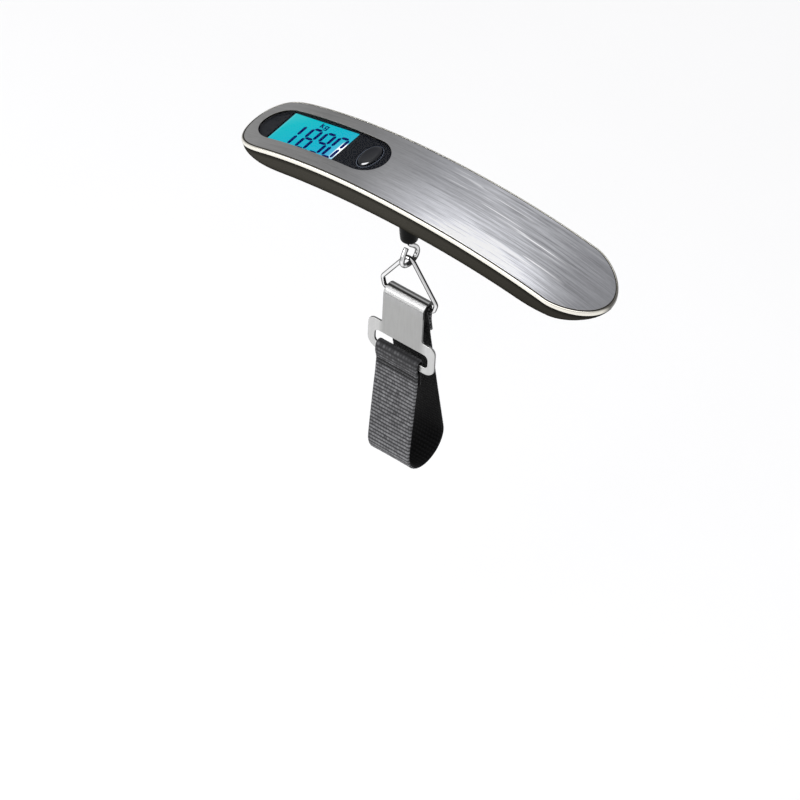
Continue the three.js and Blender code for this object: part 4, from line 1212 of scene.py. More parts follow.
def casing():
    rows, across = 170, 64
    outer, inner = hull_skins(rows, across)
    verts = [v for ring in outer + inner for v in ring]
    faces = []
    base = rows * across
    for i in range(rows - 1):
        faces += skin_row(i, across, base)
        # the top edge joins the two skins on both sides
        a, b = i * across, i * across + across - 1
        faces.append((a, a + across, base + a + across, base + a))
        faces.append((b, base + b, base + b + across, b + across))
    for i in (0, rows - 1):
        for a in range(i * across, i * across + across - 1):
            quad = (a, base + a, base + a + 1, a + 1)
            faces.append(quad if i == 0 else quad[::-1])
    return make("lower_casing_shell", (verts, faces), [CASING], "scale_body",
                "lower_casing")


def casing_core():
    """A closed solid a little smaller than the casing's outside."""
    rows, across = 120, 48
    rings = hull_rings(0.75, 0.35, rows, across)
    faces = []
    for i in range(rows - 1):
        for a in range(i * across, i * across + across - 1):
            faces.append((a, a + 1, a + across + 1, a + across))
        a, b = i * across, i * across + across - 1
        faces.append((a, a + across, b + across, b))
    faces.append(tuple(range(across)))
    faces.append(tuple(range((rows - 1) * across, rows * across))[::-1])
    return solid(([v for ring in rings for v in ring], faces))


def case_screws():
    """x, y, bottom and top of each casing screw."""
    out = []
    for k in (1, 2, 3):
        low, high = mm_box(f"casing_screw_{k}")
        out.append(((low[0] + high[0]) / 2, (low[1] + high[1]) / 2, low[2], high[2]))
    return out


CASE_SCREWS = case_screws()


def door_outline(inset):
    x0, y0, x1, y1 = DOOR
    corners = rect(x0 + inset, y0 + inset, x1 - inset, y1 - inset)
    return fillet(corners, DOOR_RADIUS - inset, 8)


def lower_casing():
    """The casing with its battery opening, counterbored screw posts and spindle hole."""
    shell = casing()
    boolean(shell, solid(prism(door_outline(0), CUT_FLOOR, -13)))
    for x, y, z0, _ in CASE_SCREWS:
        web = z0 + 2.0
        post = solid(cylinder(3.9, CUT_FLOOR, web + 1.5, 48, (x, y)))
        boolean(post, casing_core(), "INTERSECT")
        boolean(shell, post, "UNION")
        bore = [(0, CUT_FLOOR), (2.7, CUT_FLOOR), (2.7, web), (1.4, web), (1.4, web + 4),
                (0, web + 4)]
        boolean(shell, solid(lathe(bore, 48, (x, y))))
    boolean(shell, solid(cylinder(4.3, CUT_FLOOR, -12, 64, (HOOK_X, 0))))
    shade(shell, sharp=40)


lower_casing()


def battery_cover():
    """A patch of the casing cut to the opening, with grip ribs outside and a tube inside."""
    rows, across, source_across = 90, 90, 160
    centre_x = (DOOR[0] + DOOR[2]) / 2
    rib_x, rib_pitch, rib_half_width, rib_height = 35.2, 1.7, 0.42, 0.42

    def patch(skin, drop):
        """The part of a skin round the opening, on an even grid."""
        kept = [ring for ring in skin if 29 < ring[0][0] < 59]
        floor_z = ztop(centre_x) - drop
        columns = [
            j for j in range(source_across)
            if abs(kept[0][j][1]) < 12.6 and kept[0][j][2] < floor_z
        ]
        grid = np.array([[ring[j] for j in columns] for ring in kept])
        old_rows, old_columns = (np.arange(n) for n in grid.shape[:2])
        new_rows = np.linspace(0, len(old_rows) - 1, rows)
        new_columns = np.linspace(0, len(old_columns) - 1, across)
        out = np.zeros((rows, across, 3))
        for k in range(3):
            wide = np.stack([np.interp(new_columns, old_columns, line) for line in grid[:, :, k]])
            lines = [np.interp(new_rows, old_rows, wide[:, j]) for j in range(across)]
            out[:, :, k] = np.stack(lines, 1)
        return out

    outer, inner = hull_skins(400, source_across)
    outer, inner = patch(outer, 8), patch(inner, 7)
    for k in range(5):
        x = rib_x + rib_pitch * k
        rib = np.exp(-(((outer[:, :, 0] - x) / rib_half_width) ** 2))
        rib = rib * np.clip((6.6 - np.abs(outer[:, :, 1])) / 0.8, 0, 1)
        outer[:, :, 2] -= rib_height * rib
    verts = list(outer.reshape(-1, 3)) + list(inner.reshape(-1, 3))
    base = rows * across
    faces = []
    for i in range(rows - 1):
        faces += skin_row(i, across, base)
        for a, turn in ((i * across, 1), (i * across + across - 1, -1)):
            faces.append((a, a + across, base + a + across, base + a)[::turn])
    for j in range(across - 1):
        for a, turn in ((j, 1), ((rows - 1) * across + j, -1)):
            faces.append((a, a + 1, base + a + 1, base + a)[::turn])
    door = make("battery_cover_shell", (verts, faces), [CASING], "battery_door",
                "battery_cover")
    boolean(door, solid(prism(door_outline(0.3), -32, -10)), "INTERSECT")
    top = mm_box("battery_cover")[1][2]
    ring = [(5.6, top), (7.0, top), (7.0, -21.3), (5.6, -20.9)]
    boolean(door, solid(lathe(ring, 56, (centre_x, 0))), "UNION")
    shade(door, sharp=40)


battery_cover()


def casing_screw(number, x, y, bottom, top):
    """A pan-head screw, head down, with a cross recess."""
    head, shank, head_height, pitch = 2.35, 1.05, 1.7, 0.42
    length = top - bottom - 2.0
    profile = [
        (0, 0.0), (head * 0.35, 0.02), (head * 0.72, 0.14), (head * 0.93, 0.42), (head, 0.8),
        (head, 1.55), (head * 0.94, head_height), (shank, head_height),
    ]
    profile = [(r, bottom + z) for r, z in profile]
    z = bottom + head_height
    for k in range(int(length / pitch)):
        profile.append((shank - (0.0 if k % 2 else 0.18), z + (0.3 + pitch * k)))
    profile += [(shank * 0.6, z + length), (0, z + (length + 0.3))]
    screw = make(f"casing_screw_{number}_fine", lathe(profile, 40, (x, y)), [BLACK_SCREW],
                 "scale_body", f"casing_screw_{number}", sharp=35)
    arm, half = head * 0.6, 0.32  # the recess's half-length and half-width
    for angle in (0, math.pi / 2):
        c, s = math.cos(angle + 0.4), math.sin(angle + 0.4)
        slot = [(x + a * c - b * s, y + a * s + b * c) for a, b in rect(-arm, -half, arm, half)]
        boolean(screw, solid(prism(slot, bottom - 1, bottom + 0.95)))
    shade(screw, sharp=35)


for number, screw_place in enumerate(CASE_SCREWS, 1):
    casing_screw(number, *screw_place)


# ---------------------------------------------------------------- window, display and button
def arch_plate(loops, top, bottom, bevel):
    """A plate between two depths below the arch, with a small bevel round its edges."""
    levels = [(0.0, top), (bevel, top + bevel), (bevel, bottom - bevel), (0.0, bottom)]
    return plate_mesh(loops, levels, lambda x, y, drop: (x, y, float(ztop(x)) - drop), PLATE_STEP)


def window_plates():
    """The clear pane, and the black plate under it with its display and button openings."""
    pane = [window_ring(WINDOW["r"] - 0.3 - 0.08, 170), button_ring(0.33)]
    make("display_lens_pane", arch_plate(pane, top=0.15, bottom=0.75, bevel=0.08), [LENS],
         "scale_body", "display_lens", tidy=False, sharp=40)
    opening = fillet(rect(LCD["x0"], LCD["y0"], LCD["x1"], LCD["y1"]), 0.35, 4)
    opening = resample(opening, count=120, closed=True)
    bezel = [window_ring(10.75, 170), opening, button_ring(0.3)]
    make("display_bezel_plate", arch_plate(bezel, top=1.05, bottom=2.1, bevel=0.05), [GLOSS],
         "scale_body", "display_bezel", tidy=False, sharp=40)


window_plates()


def button_lip():
    """The raised edge round the button's opening, in a paler plastic as a painted highlight."""
    segments = 96
    profile = [  # growth beyond the button, height from the arch
        (0.36, -1.12), (0.36, -0.88), (0.40, -0.82), (0.50, -0.80), (0.62, -0.83),
        (0.66, -0.90), (0.66, -1.12),
    ]
    verts, faces = [], []
    for k, (grow, z) in enumerate(profile):
        verts += [(x, y, float(ztop(x)) + z) for x, y in button_ring(grow, segments)]
        following = (k + 1) % len(profile)
        faces += ring_quads(k * segments, following * segments, segments)
    make("button_opening_lip", (verts, faces), [LIP], "scale_body", sharp=60)


button_lip()

LCD_X = (LCD["x0"] + LCD["x1"]) / 2
CHORD_Z = float(ztop(LCD["x0"]) + ztop(LCD["x1"])) / 2
HALF_LCD = (LCD["x1"] - LCD["x0"]) / 2 / math.cos(TILT)


def from_display(x, y, z):
    """A point given in the tilted display's own axes."""
    c, s = math.cos(TILT), math.sin(TILT)
    return (LCD_X + x * c - z * s, y, CHORD_Z + x * s + z * c)


def lcd_panel():
    x0, x1 = -HALF_LCD + 0.6, HALF_LCD - 0.6
    y0, y1 = LCD["y0"] + 0.3, LCD["y1"] - 0.3
    z0, z1 = LCD["z"] - 1.6, LCD["z"]
    bevel = 0.12
    cx, cy = (x0 + x1) / 2, (y0 + y1) / 2
    corners = fillet(rect(x0, y0, x1, y1), 0.25, 4)

    def shrunk(value, middle, inset):
        share = (abs(value - middle) - inset) / max(1e-6, abs(value - middle))
        return middle + (value - middle) * share

    rings = []
    for inset, z in ((bevel, z0), (0.0, z0 + bevel), (0.0, z1 - bevel), (bevel, z1)):
        rings.append([
            from_display(shrunk(x, cx, inset), shrunk(y, cy, inset), z) for x, y in corners
        ])
    make("lcd_glass_panel", tube(rings), [LCD_FACE], "scale_body", "lcd_glass",
         tidy=False, sharp=40)


lcd_panel()


# Each segment: upright or not, place across and up the figure as shares of its size
SEGMENTS = {
    "a": (False, 0, 1), "b": (True, 0.5, 0.75), "c": (True, 0.5, 0.25), "d": (False, 0, 0),
    "e": (True, -0.5, 0.25), "f": (True, -0.5, 0.75), "g": (False, 0, 0.5),
}
FIGURE_SEGMENTS = {"0": "abcdef", "1": "bc", "8": "abcdefg", "9": "abcdfg"}
UNIT_STROKES = [  # the unit mark's outlines, before scaling
    rect(-0.05, 0, 0.33, 1.8),
    [(0.38, 0.56), (1.10, 1.28), (0.66, 1.28), (0.38, 1.0)],
    [(0.38, 0.62), (0.74, 0), (1.22, 0), (0.62, 0.9)],
    rect(1.42, 0.06, 1.78, 1.24),
    rect(1.80, 0.92, 2.26, 1.24),
    rect(1.80, 0.06, 2.26, 0.36),
    rect(2.28, -0.56, 2.62, 1.24),
    rect(1.46, -0.56, 2.26, -0.26),
]


def lcd_figures():
    """Seven-segment figures, a point and a unit mark, as thin printed shapes on the glass."""
    width, height, thick, gap = 3.95, 11.9, 1.32, 0.42
    base_y = -7.3
    point_radius, unit_scale = 0.5, 1.45
    top, bottom = LCD["z"] + 0.045, LCD["z"] + 0.012
    shapes = []

    def put(polygon):
        count = len(polygon)
        verts = [from_display(x, y, z) for z in (top, bottom) for x, y in polygon]
        faces = [tuple(range(count)), tuple(range(count, 2 * count))[::-1]]
        shapes.append((verts, faces + ring_quads(0, count, count, down=True)))

    def segment(cx, cy, upright):
        e = thick / 2
        if upright:
            end = (height / 2 - gap) / 2
            flat = end - e
            points = [(0, -end), (e, -flat), (e, flat), (0, end), (-e, flat), (-e, -flat)]
        else:
            end = (width - gap) / 2
            flat = end - e
            points = [(-end, 0), (-flat, -e), (flat, -e), (end, 0), (flat, e), (-flat, e)]
        put([(cx + x, cy + y) for x, y in points])

    def display_x(x):
        return (x - LCD_X) / math.cos(TILT)

    figures = [
        ("1", display_x(-60.55) - width / 2), ("8", display_x(-55.0)),
        ("9", display_x(-48.6)), ("0", display_x(-42.4)),
    ]
    for figure, cx in figures:
        for name in FIGURE_SEGMENTS[figure]:
            upright, across, up = SEGMENTS[name]
            segment(cx + width * across, base_y + height * up, upright)
    cx, cy = display_x(-51.75), -7.4
    angles = np.linspace(0, 2 * math.pi, 12, endpoint=False)
    put([(cx + point_radius * math.cos(a), cy + point_radius * math.sin(a)) for a in angles])
    unit_x, unit_y = display_x(-56.0), 6.2
    for stroke in UNIT_STROKES:
        put([(unit_x + unit_scale * x, unit_y + unit_scale * y) for x, y in stroke])
    make("lcd_segments", join(shapes), [SEGMENT], "scale_body", tidy=False, smooth=False)


lcd_figures()


BUTTON_TOP = -0.12  # the dished top's centre, from the arch
BUTTON_PROFILE = [  # share of the button's radii, height from the arch
    (0.12, -0.115), (0.26, -0.10), (0.42, -0.06), (0.54, 0.0), (0.64, 0.07), (0.71, 0.12),
    (0.76, 0.14), (0.80, 0.13), (0.84, 0.085), (0.88, 0.01), (0.92, -0.10), (0.955, -0.22),
    (0.98, -0.34), (0.995, -0.48), (1.0, -0.65), (1.0, -2.45),
]
BUTTON_FLANGE = [(1.08, -2.52), (1.1, -2.6), (1.1, -3.2), (1.05, -3.3)]  # growth, height


def button():
    segments, raised = 96, 0.02
    centre_x, rx, ry = BUTTON["x"], BUTTON["rx"], BUTTON["ry"]
    rings = [(rx * share, ry * share, z + raised) for share, z in BUTTON_PROFILE]
    rings += [(rx + grow, ry + grow, z) for grow, z in BUTTON_FLANGE]
    rings.append((1.4, 1.4, -3.38))
    verts = [(0, 0, BUTTON_TOP + raised)]
    for a, b, z in rings:
        for k in range(segments):
            t = 2 * math.pi * k / segments
            verts.append((a * math.cos(t), b * math.sin(t), z))
    faces = [(0, 1 + k, 1 + (k + 1) % segments) for k in range(segments)]
    starts = [1 + i * segments for i in range(len(rings))]
    for first, second in zip(starts, starts[1:]):
        faces += ring_quads(first, second, segments, down=True)
    faces.append(tuple(range(starts[-1], starts[-1] + segments))[::-1])
    # stand it square to the arch
    slope = float((ztop(centre_x + 0.05) - ztop(centre_x - 0.05)) / 0.1)
    angle = math.atan(slope)
    c, s = math.cos(angle), math.sin(angle)
    z0 = float(ztop(centre_x))
    verts = [(centre_x + x * c - z * s, BUTTON["y"] + y, z0 + x * s + z * c) for x, y, z in verts]
    make("button_cap_fine", (verts, faces), [KEY], "button", "button_cap",
         sharp=50)


button()


# ---------------------------------------------------------------- collar, hook, triangle
def collar():
    """The turned sleeve round the hook's stem, flanged at its top."""
    tip = float(COLLAR_LOW[2]) - 0.8
    flange = [(1.45, -15.9), (5.0, -15.9), (5.2, -16.1), (5.2, -16.7), (5.0, -16.9),
              (4.1, -16.9), (4.05, -17.1), (4.05, -20.6)]
    sleeve = [
        (4.05, -20.8), (4.03, -22.0), (3.86, -25.0), (3.60, tip + 2.4), (3.49, tip + 1.2),
        (3.42, tip + 0.55), (3.30, tip + 0.18), (3.08, tip + 0.03), (2.8, tip),
    ]
    bore = [(1.7, tip), (1.5, tip + 0.12), (1.45, tip + 0.3)]
    profile = flange + list(smooth_curve(sleeve, 5)) + bore
    make("spindle_collar_fine", lathe(profile, 72, (HOOK_X, 0)), [COLLAR], "scale_body",
         "spindle_collar", sharp=50)


collar()


def wire(name, path, radius, chamfer, body, replaces):
    """Chromed wire that keeps its own direction on its surface, for the painted reflection in its
    colour.
    """
    verts, faces = sweep(path, radius, 28, chamfer)
    obj = make(name, (verts, faces), [CHROME], body, replaces, sharp=50)
    distance = ((np.array(verts)[:, None, :] - path[None]) ** 2).sum(2)
    nearest = np.argmin(distance, axis=1)
    along = obj.data.attributes.new("along", "FLOAT_VECTOR", "POINT")
    along.data.foreach_set("vector", directions(path)[nearest].astype(np.float32).ravel())


def hook():
    """A straight stem that swings back and curls round to a point in front."""
    bend_y, bend_z, bend_radius = 0.3, -40.3, 4.8
    points = [  # y, z
        (0, -2.7), (0, -12), (0, -22), (0, -29), (0, -33.2), (0.3, -34.9), (1.35, -36.3),
        (3.2, -38.2), (4.7, -40.3), (5.05, -42.2), (4.1, -44.0), (2.1, -45.05),
    ]
    for degrees in (-100, -133, -166):
        a = math.radians(degrees)
        points.append((bend_y + bend_radius * math.cos(a), bend_z + bend_radius * math.sin(a)))
    points += [(-3.8, -39.0), (-2.75, -37.2), (-1.65, -35.8)]
    curve = smooth_curve([(HOOK_X, y, z) for y, z in points], 24)
    wire("hook_wire", resample(curve, step=0.28), radius=1.0, chamfer=0.16, body="hook",
         replaces="hook")


hook()

RING_RADIUS = 0.9  # of the triangle's wire


def triangle_ring():
    """A triangle of wire whose ends meet in the middle of its lower bar."""
    corners = [  # distance from the hook's axis, z, corner radius
        (-0.12, BAR_Z, 0), (-11.6, BAR_Z, 1.7), (-12.5, -58.9, 1.9), (0, -40.0, 2.5),
        (12.8, -59.4, 1.9), (11.6, BAR_Z, 1.7), (0.12, BAR_Z, 0),
    ]
    line = fillet([(HOOK_X + x, z) for x, z, _ in corners], [r for _, _, r in corners], 14)
    path = ease(resample([(x, 0.0, z) for x, z in line], step=0.26), 3)
    wire("triangle_ring_wire", path, radius=RING_RADIUS, chamfer=0.1, body="ring",
         replaces="triangle_ring")


triangle_ring()

# ---------------------------------------------------------------- buckle: one bent sheet
ROLL_IN, PLATE_T = 2.75, 1.0  # inner radius of the roll, and the sheet's thickness
PLATE_Y = ROLL_IN + PLATE_T / 2  # the plate's mid-thickness in front of the bar
ROLL_MEAN, ROLL_TOP = 2.85, 2.62  # mean and final mid-thickness radius of the roll
BUCKLE_TILT = -math.radians(3.6)
PLATE_FOOT, FOOT_BAR = 29.4, 3.3  # the plate's length below the bar, and its foot's height


def tilted(y, z):
    """A point given from the bar, turned with the buckle."""
    c, s = math.cos(BUCKLE_TILT), math.sin(BUCKLE_TILT)
    return y * c - z * s, y * s + z * c + BAR_Z


def sheet_point(x, s, off):
    """A point of the sheet: s runs from the lip (negative) over the roll and down the plate,
    and off is the distance outwards from mid-thickness."""
    if s >= 0:
        y, z = -(PLATE_Y + off), -s
    else:
        a = math.pi + s / ROLL_MEAN
        tightening = max(0.0, min(1.0, 2 * a / math.pi - 1)) ** 2
        r = ROLL_TOP + (PLATE_Y - ROLL_TOP) * tightening + off
        y, z = r * math.cos(a), r * math.sin(a)
    y, z = tilted(y, z)
    return (HOOK_X + x, y, z)


def buckle():
    lip = -ROLL_MEAN * (math.pi - 0.05)
    neck, wide, shoulder = 9.5, 15.9, 14.6  # half-widths, and where the plate widens
    edge_step, bevel, half = 0.42, 0.26, PLATE_T / 2
    outer = [
        (-neck, lip), (neck, lip), (neck, shoulder), (wide, shoulder), (wide, PLATE_FOOT),
        (-wide, PLATE_FOOT), (-wide, shoulder), (-neck, shoulder),
    ]
    outer = fillet(outer, [0.9, 0.9, 0.9, 4.6, 4.6, 4.6, 4.6, 0.9], 14)
    hole = fillet(rect(-12.6, shoulder + 5.4, 12.6, PLATE_FOOT - FOOT_BAR), 1.9, 10)
    loops = [resample(loop, step=edge_step, closed=True) for loop in (outer, hole)]
    levels = [
        (-bevel * (1 - math.sin(a)), half - bevel * (1 - math.cos(a)))
        for a in np.linspace(0, math.pi / 2, 5)
    ]
    levels += [(shift, -off) for shift, off in levels[::-1]]
    mesh = plate_mesh(loops, levels, sheet_point, step=0.9, margin=0.5, reach=2,
                      turn_holes=False)
    make("buckle_plate_sheet", mesh, [SATIN], "buckle_front", "buckle_plate",
         sharp=55)


buckle()

# ---------------------------------------------------------------- webbing strap
STRAP_T = 1.3
HANDLE_Y, HANDLE_Z, HANDLE_R = -1.0, -136.8, 9.7  # the round space at the strap's bottom
RIB_PITCH, YARN = 1.74, 1.35  # along and across the weave


def arc(cy, cz, radius, angles):
    return [
        (cy + radius * math.cos(math.radians(a)), cz + radius * math.sin(math.radians(a)))
        for a in angles
    ]


def straight(a, b, count):
    """Points on the straight run from a to b, ends left out."""
    shares = [(k, count + 1) for k in range(1, count + 1)]
    return [(a[0] + (b[0] - a[0]) * k / n, a[1] + (b[1] - a[1]) * k / n) for k, n in shares]


def strap_path():
    """Centre line in (y, z) from the front flap's end, round the buckle's foot bar, down and
    round the handle space, up the back, round the triangle's bar, to the back flap's end."""
    mid, foot = -PLATE_Y, -PLATE_FOOT
    wrap = PLATE_T / 2 + 0.28 + STRAP_T / 2
    # the flap rises behind the front leg
    flap = [(mid + 0.95, foot - 8.3), (mid + 0.95, foot - 5.2), (mid + 0.98, foot - 2.6)]
    over = arc(mid, foot + FOOT_BAR - 0.2, wrap, (0, 30, 60, 90, 120, 150, 180))
    leg = [(mid - wrap, foot + 0.1), (mid - 0.62, foot - 2.7), (mid - 0.62, foot - 5.2),
           (mid - 0.72, foot - 9.5)]
    path = [tilted(y, z) for y, z in flap + [(mid + wrap, foot + 0.1)] + over + leg]
    bottom = arc(HANDLE_Y, HANDLE_Z, HANDLE_R + STRAP_T / 2, np.linspace(172, 368, 21))
    back = [(0.45, -77.0), (0.0, -72.8), (-0.42, -69.3), (-0.95, -67.4)]
    path += straight(path[-1], bottom[0], 3) + bottom + straight(bottom[-1], back[0], 5) + back
    eye = RING_RADIUS + 0.12 + 0.38 * STRAP_T
    path += arc(0, BAR_Z, eye, (206, 180, 150, 120, 90, 60, 30, 0, -26))
    path += [(1.18, -67.3), (0.98, -69.3), (1.34, -72.8), (1.72, -75.4)]
    return np.array(path)


def smoothstep(t):
    t = np.clip(t, 0, 1)
    return t * t * (3 - 2 * t)


# Sewn rows in (y, z): two on the front leg, one on the front flap, two on the back
SEWN_ROWS = [
    tilted(-PLATE_Y - 0.62, -PLATE_FOOT - 3.9), tilted(-PLATE_Y - 0.62, -PLATE_FOOT - 5.5),
    tilted(-PLATE_Y + 0.95, -PLATE_FOOT - 5.2), (0.10, -72.2), (1.25, -72.2),
]
FRONT_ROWS = 3


def strap():
    line = ease(resample(smooth_curve(strap_path(), 12), step=0.25), 10)
    line = resample(line, step=0.17)
    run = run_length(line)
    tangent = directions(line)
    # to the outer face, which is -Y on the front leg
    normal = np.stack([tangent[:, 1], -tangent[:, 0]], 1)

    def nearest(y, z):
        return int(np.argmin(np.hypot(line[:, 0] - y, line[:, 1] - z)))

    # the buckle's end and the triangle's end lie at slightly different x
    width = FRONT_X[1] - FRONT_X[0]
    lowest = int(np.argmin(line[:, 1]))
    turn = smoothstep((run - run[lowest] + 24.0) / 46.0)
    x_left = FRONT_X[0] + turn * (BACK_X[0] - FRONT_X[0])
    x_scale = 1 + turn * ((BACK_X[1] - BACK_X[0]) / width - 1)

    # half-thickness across the width, with rounded, slightly thicker selvedges
    across = 84
    xs = np.linspace(0, width, across)
    half = STRAP_T / 2 - 0.02
    at_eye = nearest(0, BAR_Z + 1.6)
    thin = 1 - 0.26 * np.exp(-(((run - run[at_eye]) / 5.0) ** 4))  # pulled tight round the bar
    edge_in = np.minimum(xs, width - xs)
    rounding = np.clip(1 - (np.clip(0.62 - edge_in, 0, 0.62) / 0.62) ** 2, 0.0, 1)
    profile = half * np.sqrt(rounding) * (1 + 0.05 * np.exp(-((edge_in - 0.9) ** 2) / 0.25))

    # ribs along the strap, broken into uneven yarns across it
    rows = run / RIB_PITCH
    rib = np.abs(np.sin(np.pi * rows)) ** 0.7
    row_id = np.floor(rows).astype(int)
    rng = np.random.default_rng(7)
    jitter = rng.normal(0, 1, 4000)
    X = xs[None, :]
    phase = 0.5 * jitter[(row_id[:, None] * 7) % 4000]
    dash = 0.5 + 0.5 * np.cos(2 * np.pi * (X / YARN + phase))
    cell = np.floor(X / YARN + phase + 0.5).astype(int)
    strength = 0.75 + 0.34 * jitter[(row_id[:, None] * 13 + cell * 31) % 4000]
    height = rib[:, None] * (0.54 + 0.46 * np.clip(0.50 * dash + 0.72 * strength, 0, 1.35))
    inner_rib = (np.abs(np.sin(np.pi * rows + 1.2)) ** 0.8)[:, None]
    fade = np.clip(edge_in / 0.5, 0, 1)[None, :]

    # sewn rows press the webbing down
    sewn = [nearest(y, z) for y, z in SEWN_ROWS]
    stitch = np.zeros(len(run))
    for k in sewn:
        stitch = np.maximum(stitch, np.exp(-(((run - run[k]) / 0.60) ** 2)))
    stitch = stitch[:, None]
    pressed = 0.22 * stitch
    outer_relief = (0.15 * height * (1 - 0.6 * stitch) - 0.07) * fade - pressed * fade
    inner_relief = (0.10 * inner_rib * (0.6 + 0.4 * dash) - 0.05) * fade - 0.4 * pressed * fade
    outer = thin[:, None] * (profile[None, :] + outer_relief)
    inner = thin[:, None] * (profile[None, :] + inner_relief)
    # a little waviness, so the straps are not ruled surfaces
    wave = 0.12 * np.sin(2 * np.pi * run / 47 + 0.7)[:, None] * np.sin(np.pi * X / width)
    lean = 0.18 * np.sin(2 * np.pi * run / 83 + 1.1)

    # each section runs across the outer face and back across the inner one
    count, around = len(run), 2 * across
    verts = np.zeros((count, around, 3))
    for j in range(across):
        for side, thickness, column in ((1, outer, j), (-1, inner, around - 1 - j)):
            off = side * thickness[:, j] + wave[:, j]
            verts[:, column, 0] = x_left + xs[j] * x_scale + lean * 0.5
            verts[:, column, 1] = line[:, 0] + normal[:, 0] * off
            verts[:, column, 2] = line[:, 1] + normal[:, 1] * off
    faces = []
    for i in range(count - 1):
        faces += ring_quads(i * around, (i + 1) * around, around, down=True)
    faces.append(tuple(range(around)))
    faces.append(tuple(range((count - 1) * around, count * around))[::-1])
    column = np.tile(np.arange(around), count - 1)
    on_inner = (column >= across - 1) & (column < around - 1)
    material_ids = np.concatenate([on_inner, [0, 0]]).astype(np.int32)

    obj = new_object("webbing_strap", metres(verts.reshape(-1, 3)), faces)
    mesh = obj.data
    mesh.materials.append(WEB_OUT)
    mesh.materials.append(WEB_IN)
    mesh.polygons.foreach_set("material_index", material_ids)
    shade(obj)

    # rib height for the material, with painted shade in the sewn rows and where the front is doubled
    # over the foot bar
    doubled_shade = np.clip((line[:, 1] + 98.6) / 5.0, 0, 1) * (line[:, 0] < -2)
    weave = np.zeros((count, around), np.float32)
    weave[:, :across] = height * (1 - 0.92 * stitch) * (1 - 0.33 * doubled_shade[:, None])
    weave[:, across:] = (inner_rib * (0.5 + 0.5 * dash))[:, ::-1]
    attribute = mesh.attributes.new("weave", "FLOAT", "POINT")
    attribute.data.foreach_set("value", weave.ravel())

    # UVs are millimetres along and across the strap
    uvs = np.zeros((count, around, 2), np.float32)
    uvs[:, :, 0] = run[:, None]
    uvs[:, :across, 1] = xs[None, :]
    uvs[:, across:, 1] = xs[None, ::-1]
    layer = mesh.uv_layers.new(name="UVMap")
    loop_verts = np.zeros(len(mesh.loops), np.int32)
    mesh.loops.foreach_get("vertex_index", loop_verts)
    layer.data.foreach_set("uv", uvs.reshape(-1, 2)[loop_verts].ravel())
    tidy_mesh(obj, weld=False)

    obj["strap_rows"] = count
    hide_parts("strap_back_leg", "strap_front_leg")
    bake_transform(obj)
    # a weight, 1 along the front leg and falling to 0 along the back leg; nothing uses it
    start = run[nearest(-8.5, -115)] + 2.0
    end = run[max(k for k in range(count) if line[k, 1] < -120 and line[k, 0] > 8)]
    weight = 1 - np.clip((run - start) / (end - start), 0, 1)
    weight = np.repeat(smoothstep(weight), around).astype(np.float32)

    # threads: short stitches along the sewn rows
    stitches, margin, gap = 9, 0.9, 0.55
    sewn_width = width - 2 * margin
    for number, k in enumerate(sewn):
        threads = []
        for q in range(stitches):
            a = margin + q * sewn_width / stitches
            b = a + sewn_width / stitches - gap
            points = []
            # share of the stitch, height over the face
            for share, rise in ((0.0, -0.22), (0.12, 0.02), (0.5, 0.12), (0.88, 0.02), (1.0, -0.22)):
                off = half - 0.16 + rise
                x = x_left[k] + (a + (b - a) * share) * x_scale[k]
                points.append((x, line[k, 0] + normal[k, 0] * off, line[k, 1] + normal[k, 1] * off))
            threads.append(sweep(resample(smooth_curve(points, 4), count=11), 0.17, 8, 0.06))
        body = "buckle_front" if number < FRONT_ROWS else "strap_back"
        make(f"stitch_row_{number + 1}", join(threads), [THREAD], body)


strap()


# ---------------------------------------------------------------- floor, light, camera (metres)
def floor():
    """A pale square floor well below the strap."""
    z, count, half = LIFT * MM - 0.42, 40, 6.0
    xs = np.linspace(-half, half, count)
    faces = [
        (j * count + i, j * count + i + 1, (j + 1) * count + i + 1, (j + 1) * count + i)
        for j in range(count - 1)
        for i in range(count - 1)
    ]
    obj = new_object("floor", [(x, y, z) for y in xs for x in xs], faces)
    nodes = material_nodes("floor_pale")
    base = nodes.mix(nodes.noise(9), 0.91, 0.93)
    surface = nodes.principled(Base_Color=base, Roughness=0.9, Specular_IOR_Level=0.1)
    obj.data.materials.append(nodes.finish(surface))


floor()


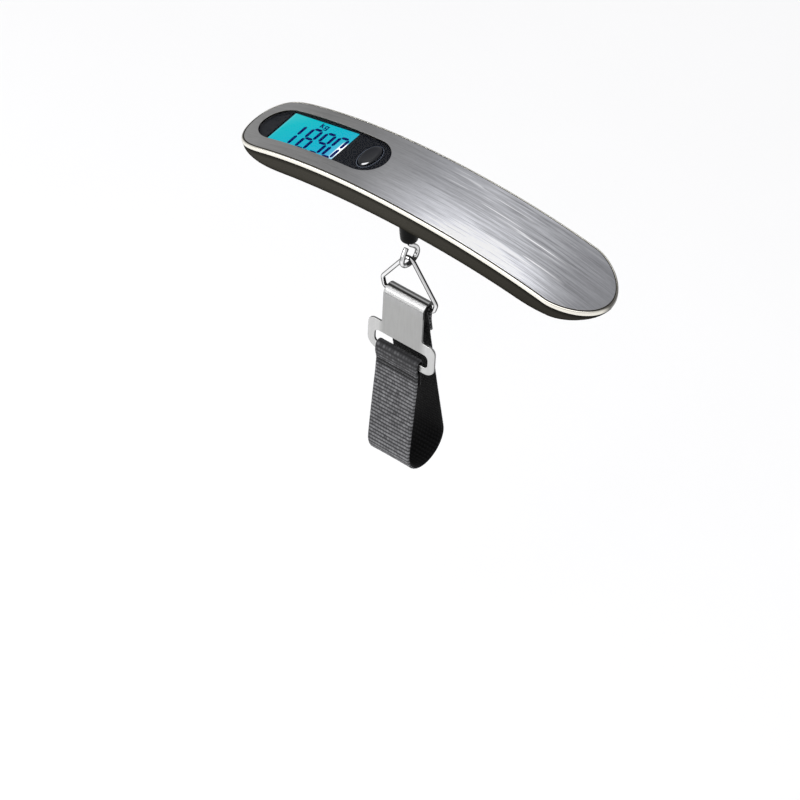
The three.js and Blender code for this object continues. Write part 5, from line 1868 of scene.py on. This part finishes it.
def area_light(name, location, target, size, energy):
    """A rectangular lamp; location and target are measured from the cover's top."""
    light = bpy.data.lights.new(name, "AREA")
    light.shape = "RECTANGLE"
    light.size, light.size_y = size
    light.energy = energy
    light.spread = math.radians(180)
    obj = bpy.data.objects.new(name, light)
    bpy.context.scene.collection.objects.link(obj)
    lift = Vector((0, 0, LIFT * MM))
    obj.location = Vector(location) + lift
    towards = Vector(target) + lift - (Vector(location) + lift)
    obj.rotation_euler = towards.to_track_quat("-Z", "Y").to_euler()


def studio_world():
    """A pale surround graded by height."""
    world = bpy.data.worlds.new("studio")
    bpy.context.scene.world = world
    nodes = Nodes(world, "OutputWorld")
    height = nodes.split(nodes.value("TexCoord", output="Generated"))[2]
    colour = nodes.ramp(nodes.remap(height, at=(-0.1, 1.0)), [
        (0.0, 0.95), (0.3, (0.80, 0.80, 0.81)), (0.62, (0.90, 0.90, 0.91)),
        (1.0, (0.70, 0.70, 0.71)),
    ])
    nodes.finish(nodes.value("Background", {0: colour, 1: 0.85}))


studio_world()
area_light("top", location=(0.15, -0.1, 2.0), target=(0.0, 0, 0), size=(2.2, 2.2), energy=22.0)
area_light("front_left", location=(-0.62, -1.25, 0.32), target=(0, 0, -0.06), size=(0.9, 0.55),
           energy=9.0)


def camera():
    """A long lens from the front right, looking down."""
    azimuth, elevation = 0.65802, 0.80958  # radians
    distance, shift_right, shift_up = 1500.0, -10.38739, -78.04121  # millimetres
    right = Vector((math.cos(azimuth), math.sin(azimuth), 0))
    back = Vector((
        math.sin(azimuth) * math.cos(elevation),
        -math.cos(azimuth) * math.cos(elevation),
        math.sin(elevation),
    ))
    up = back.cross(right)
    data = bpy.data.cameras.new("camera")
    obj = bpy.data.objects.new("camera", data)
    bpy.context.scene.collection.objects.link(obj)
    place = back * distance + right * shift_right + up * shift_up + Vector((0, 0, LIFT))
    obj.location = place * MM
    obj.rotation_mode = "QUATERNION"
    obj.rotation_quaternion = Matrix((right, up, back)).transposed().to_quaternion()
    data.sensor_width = 36.0
    data.lens = 185.566275
    data.clip_start, data.clip_end = 0.05, 20
    bpy.context.scene.camera = obj
    bpy.context.scene.view_settings.view_transform = "Standard"


camera()
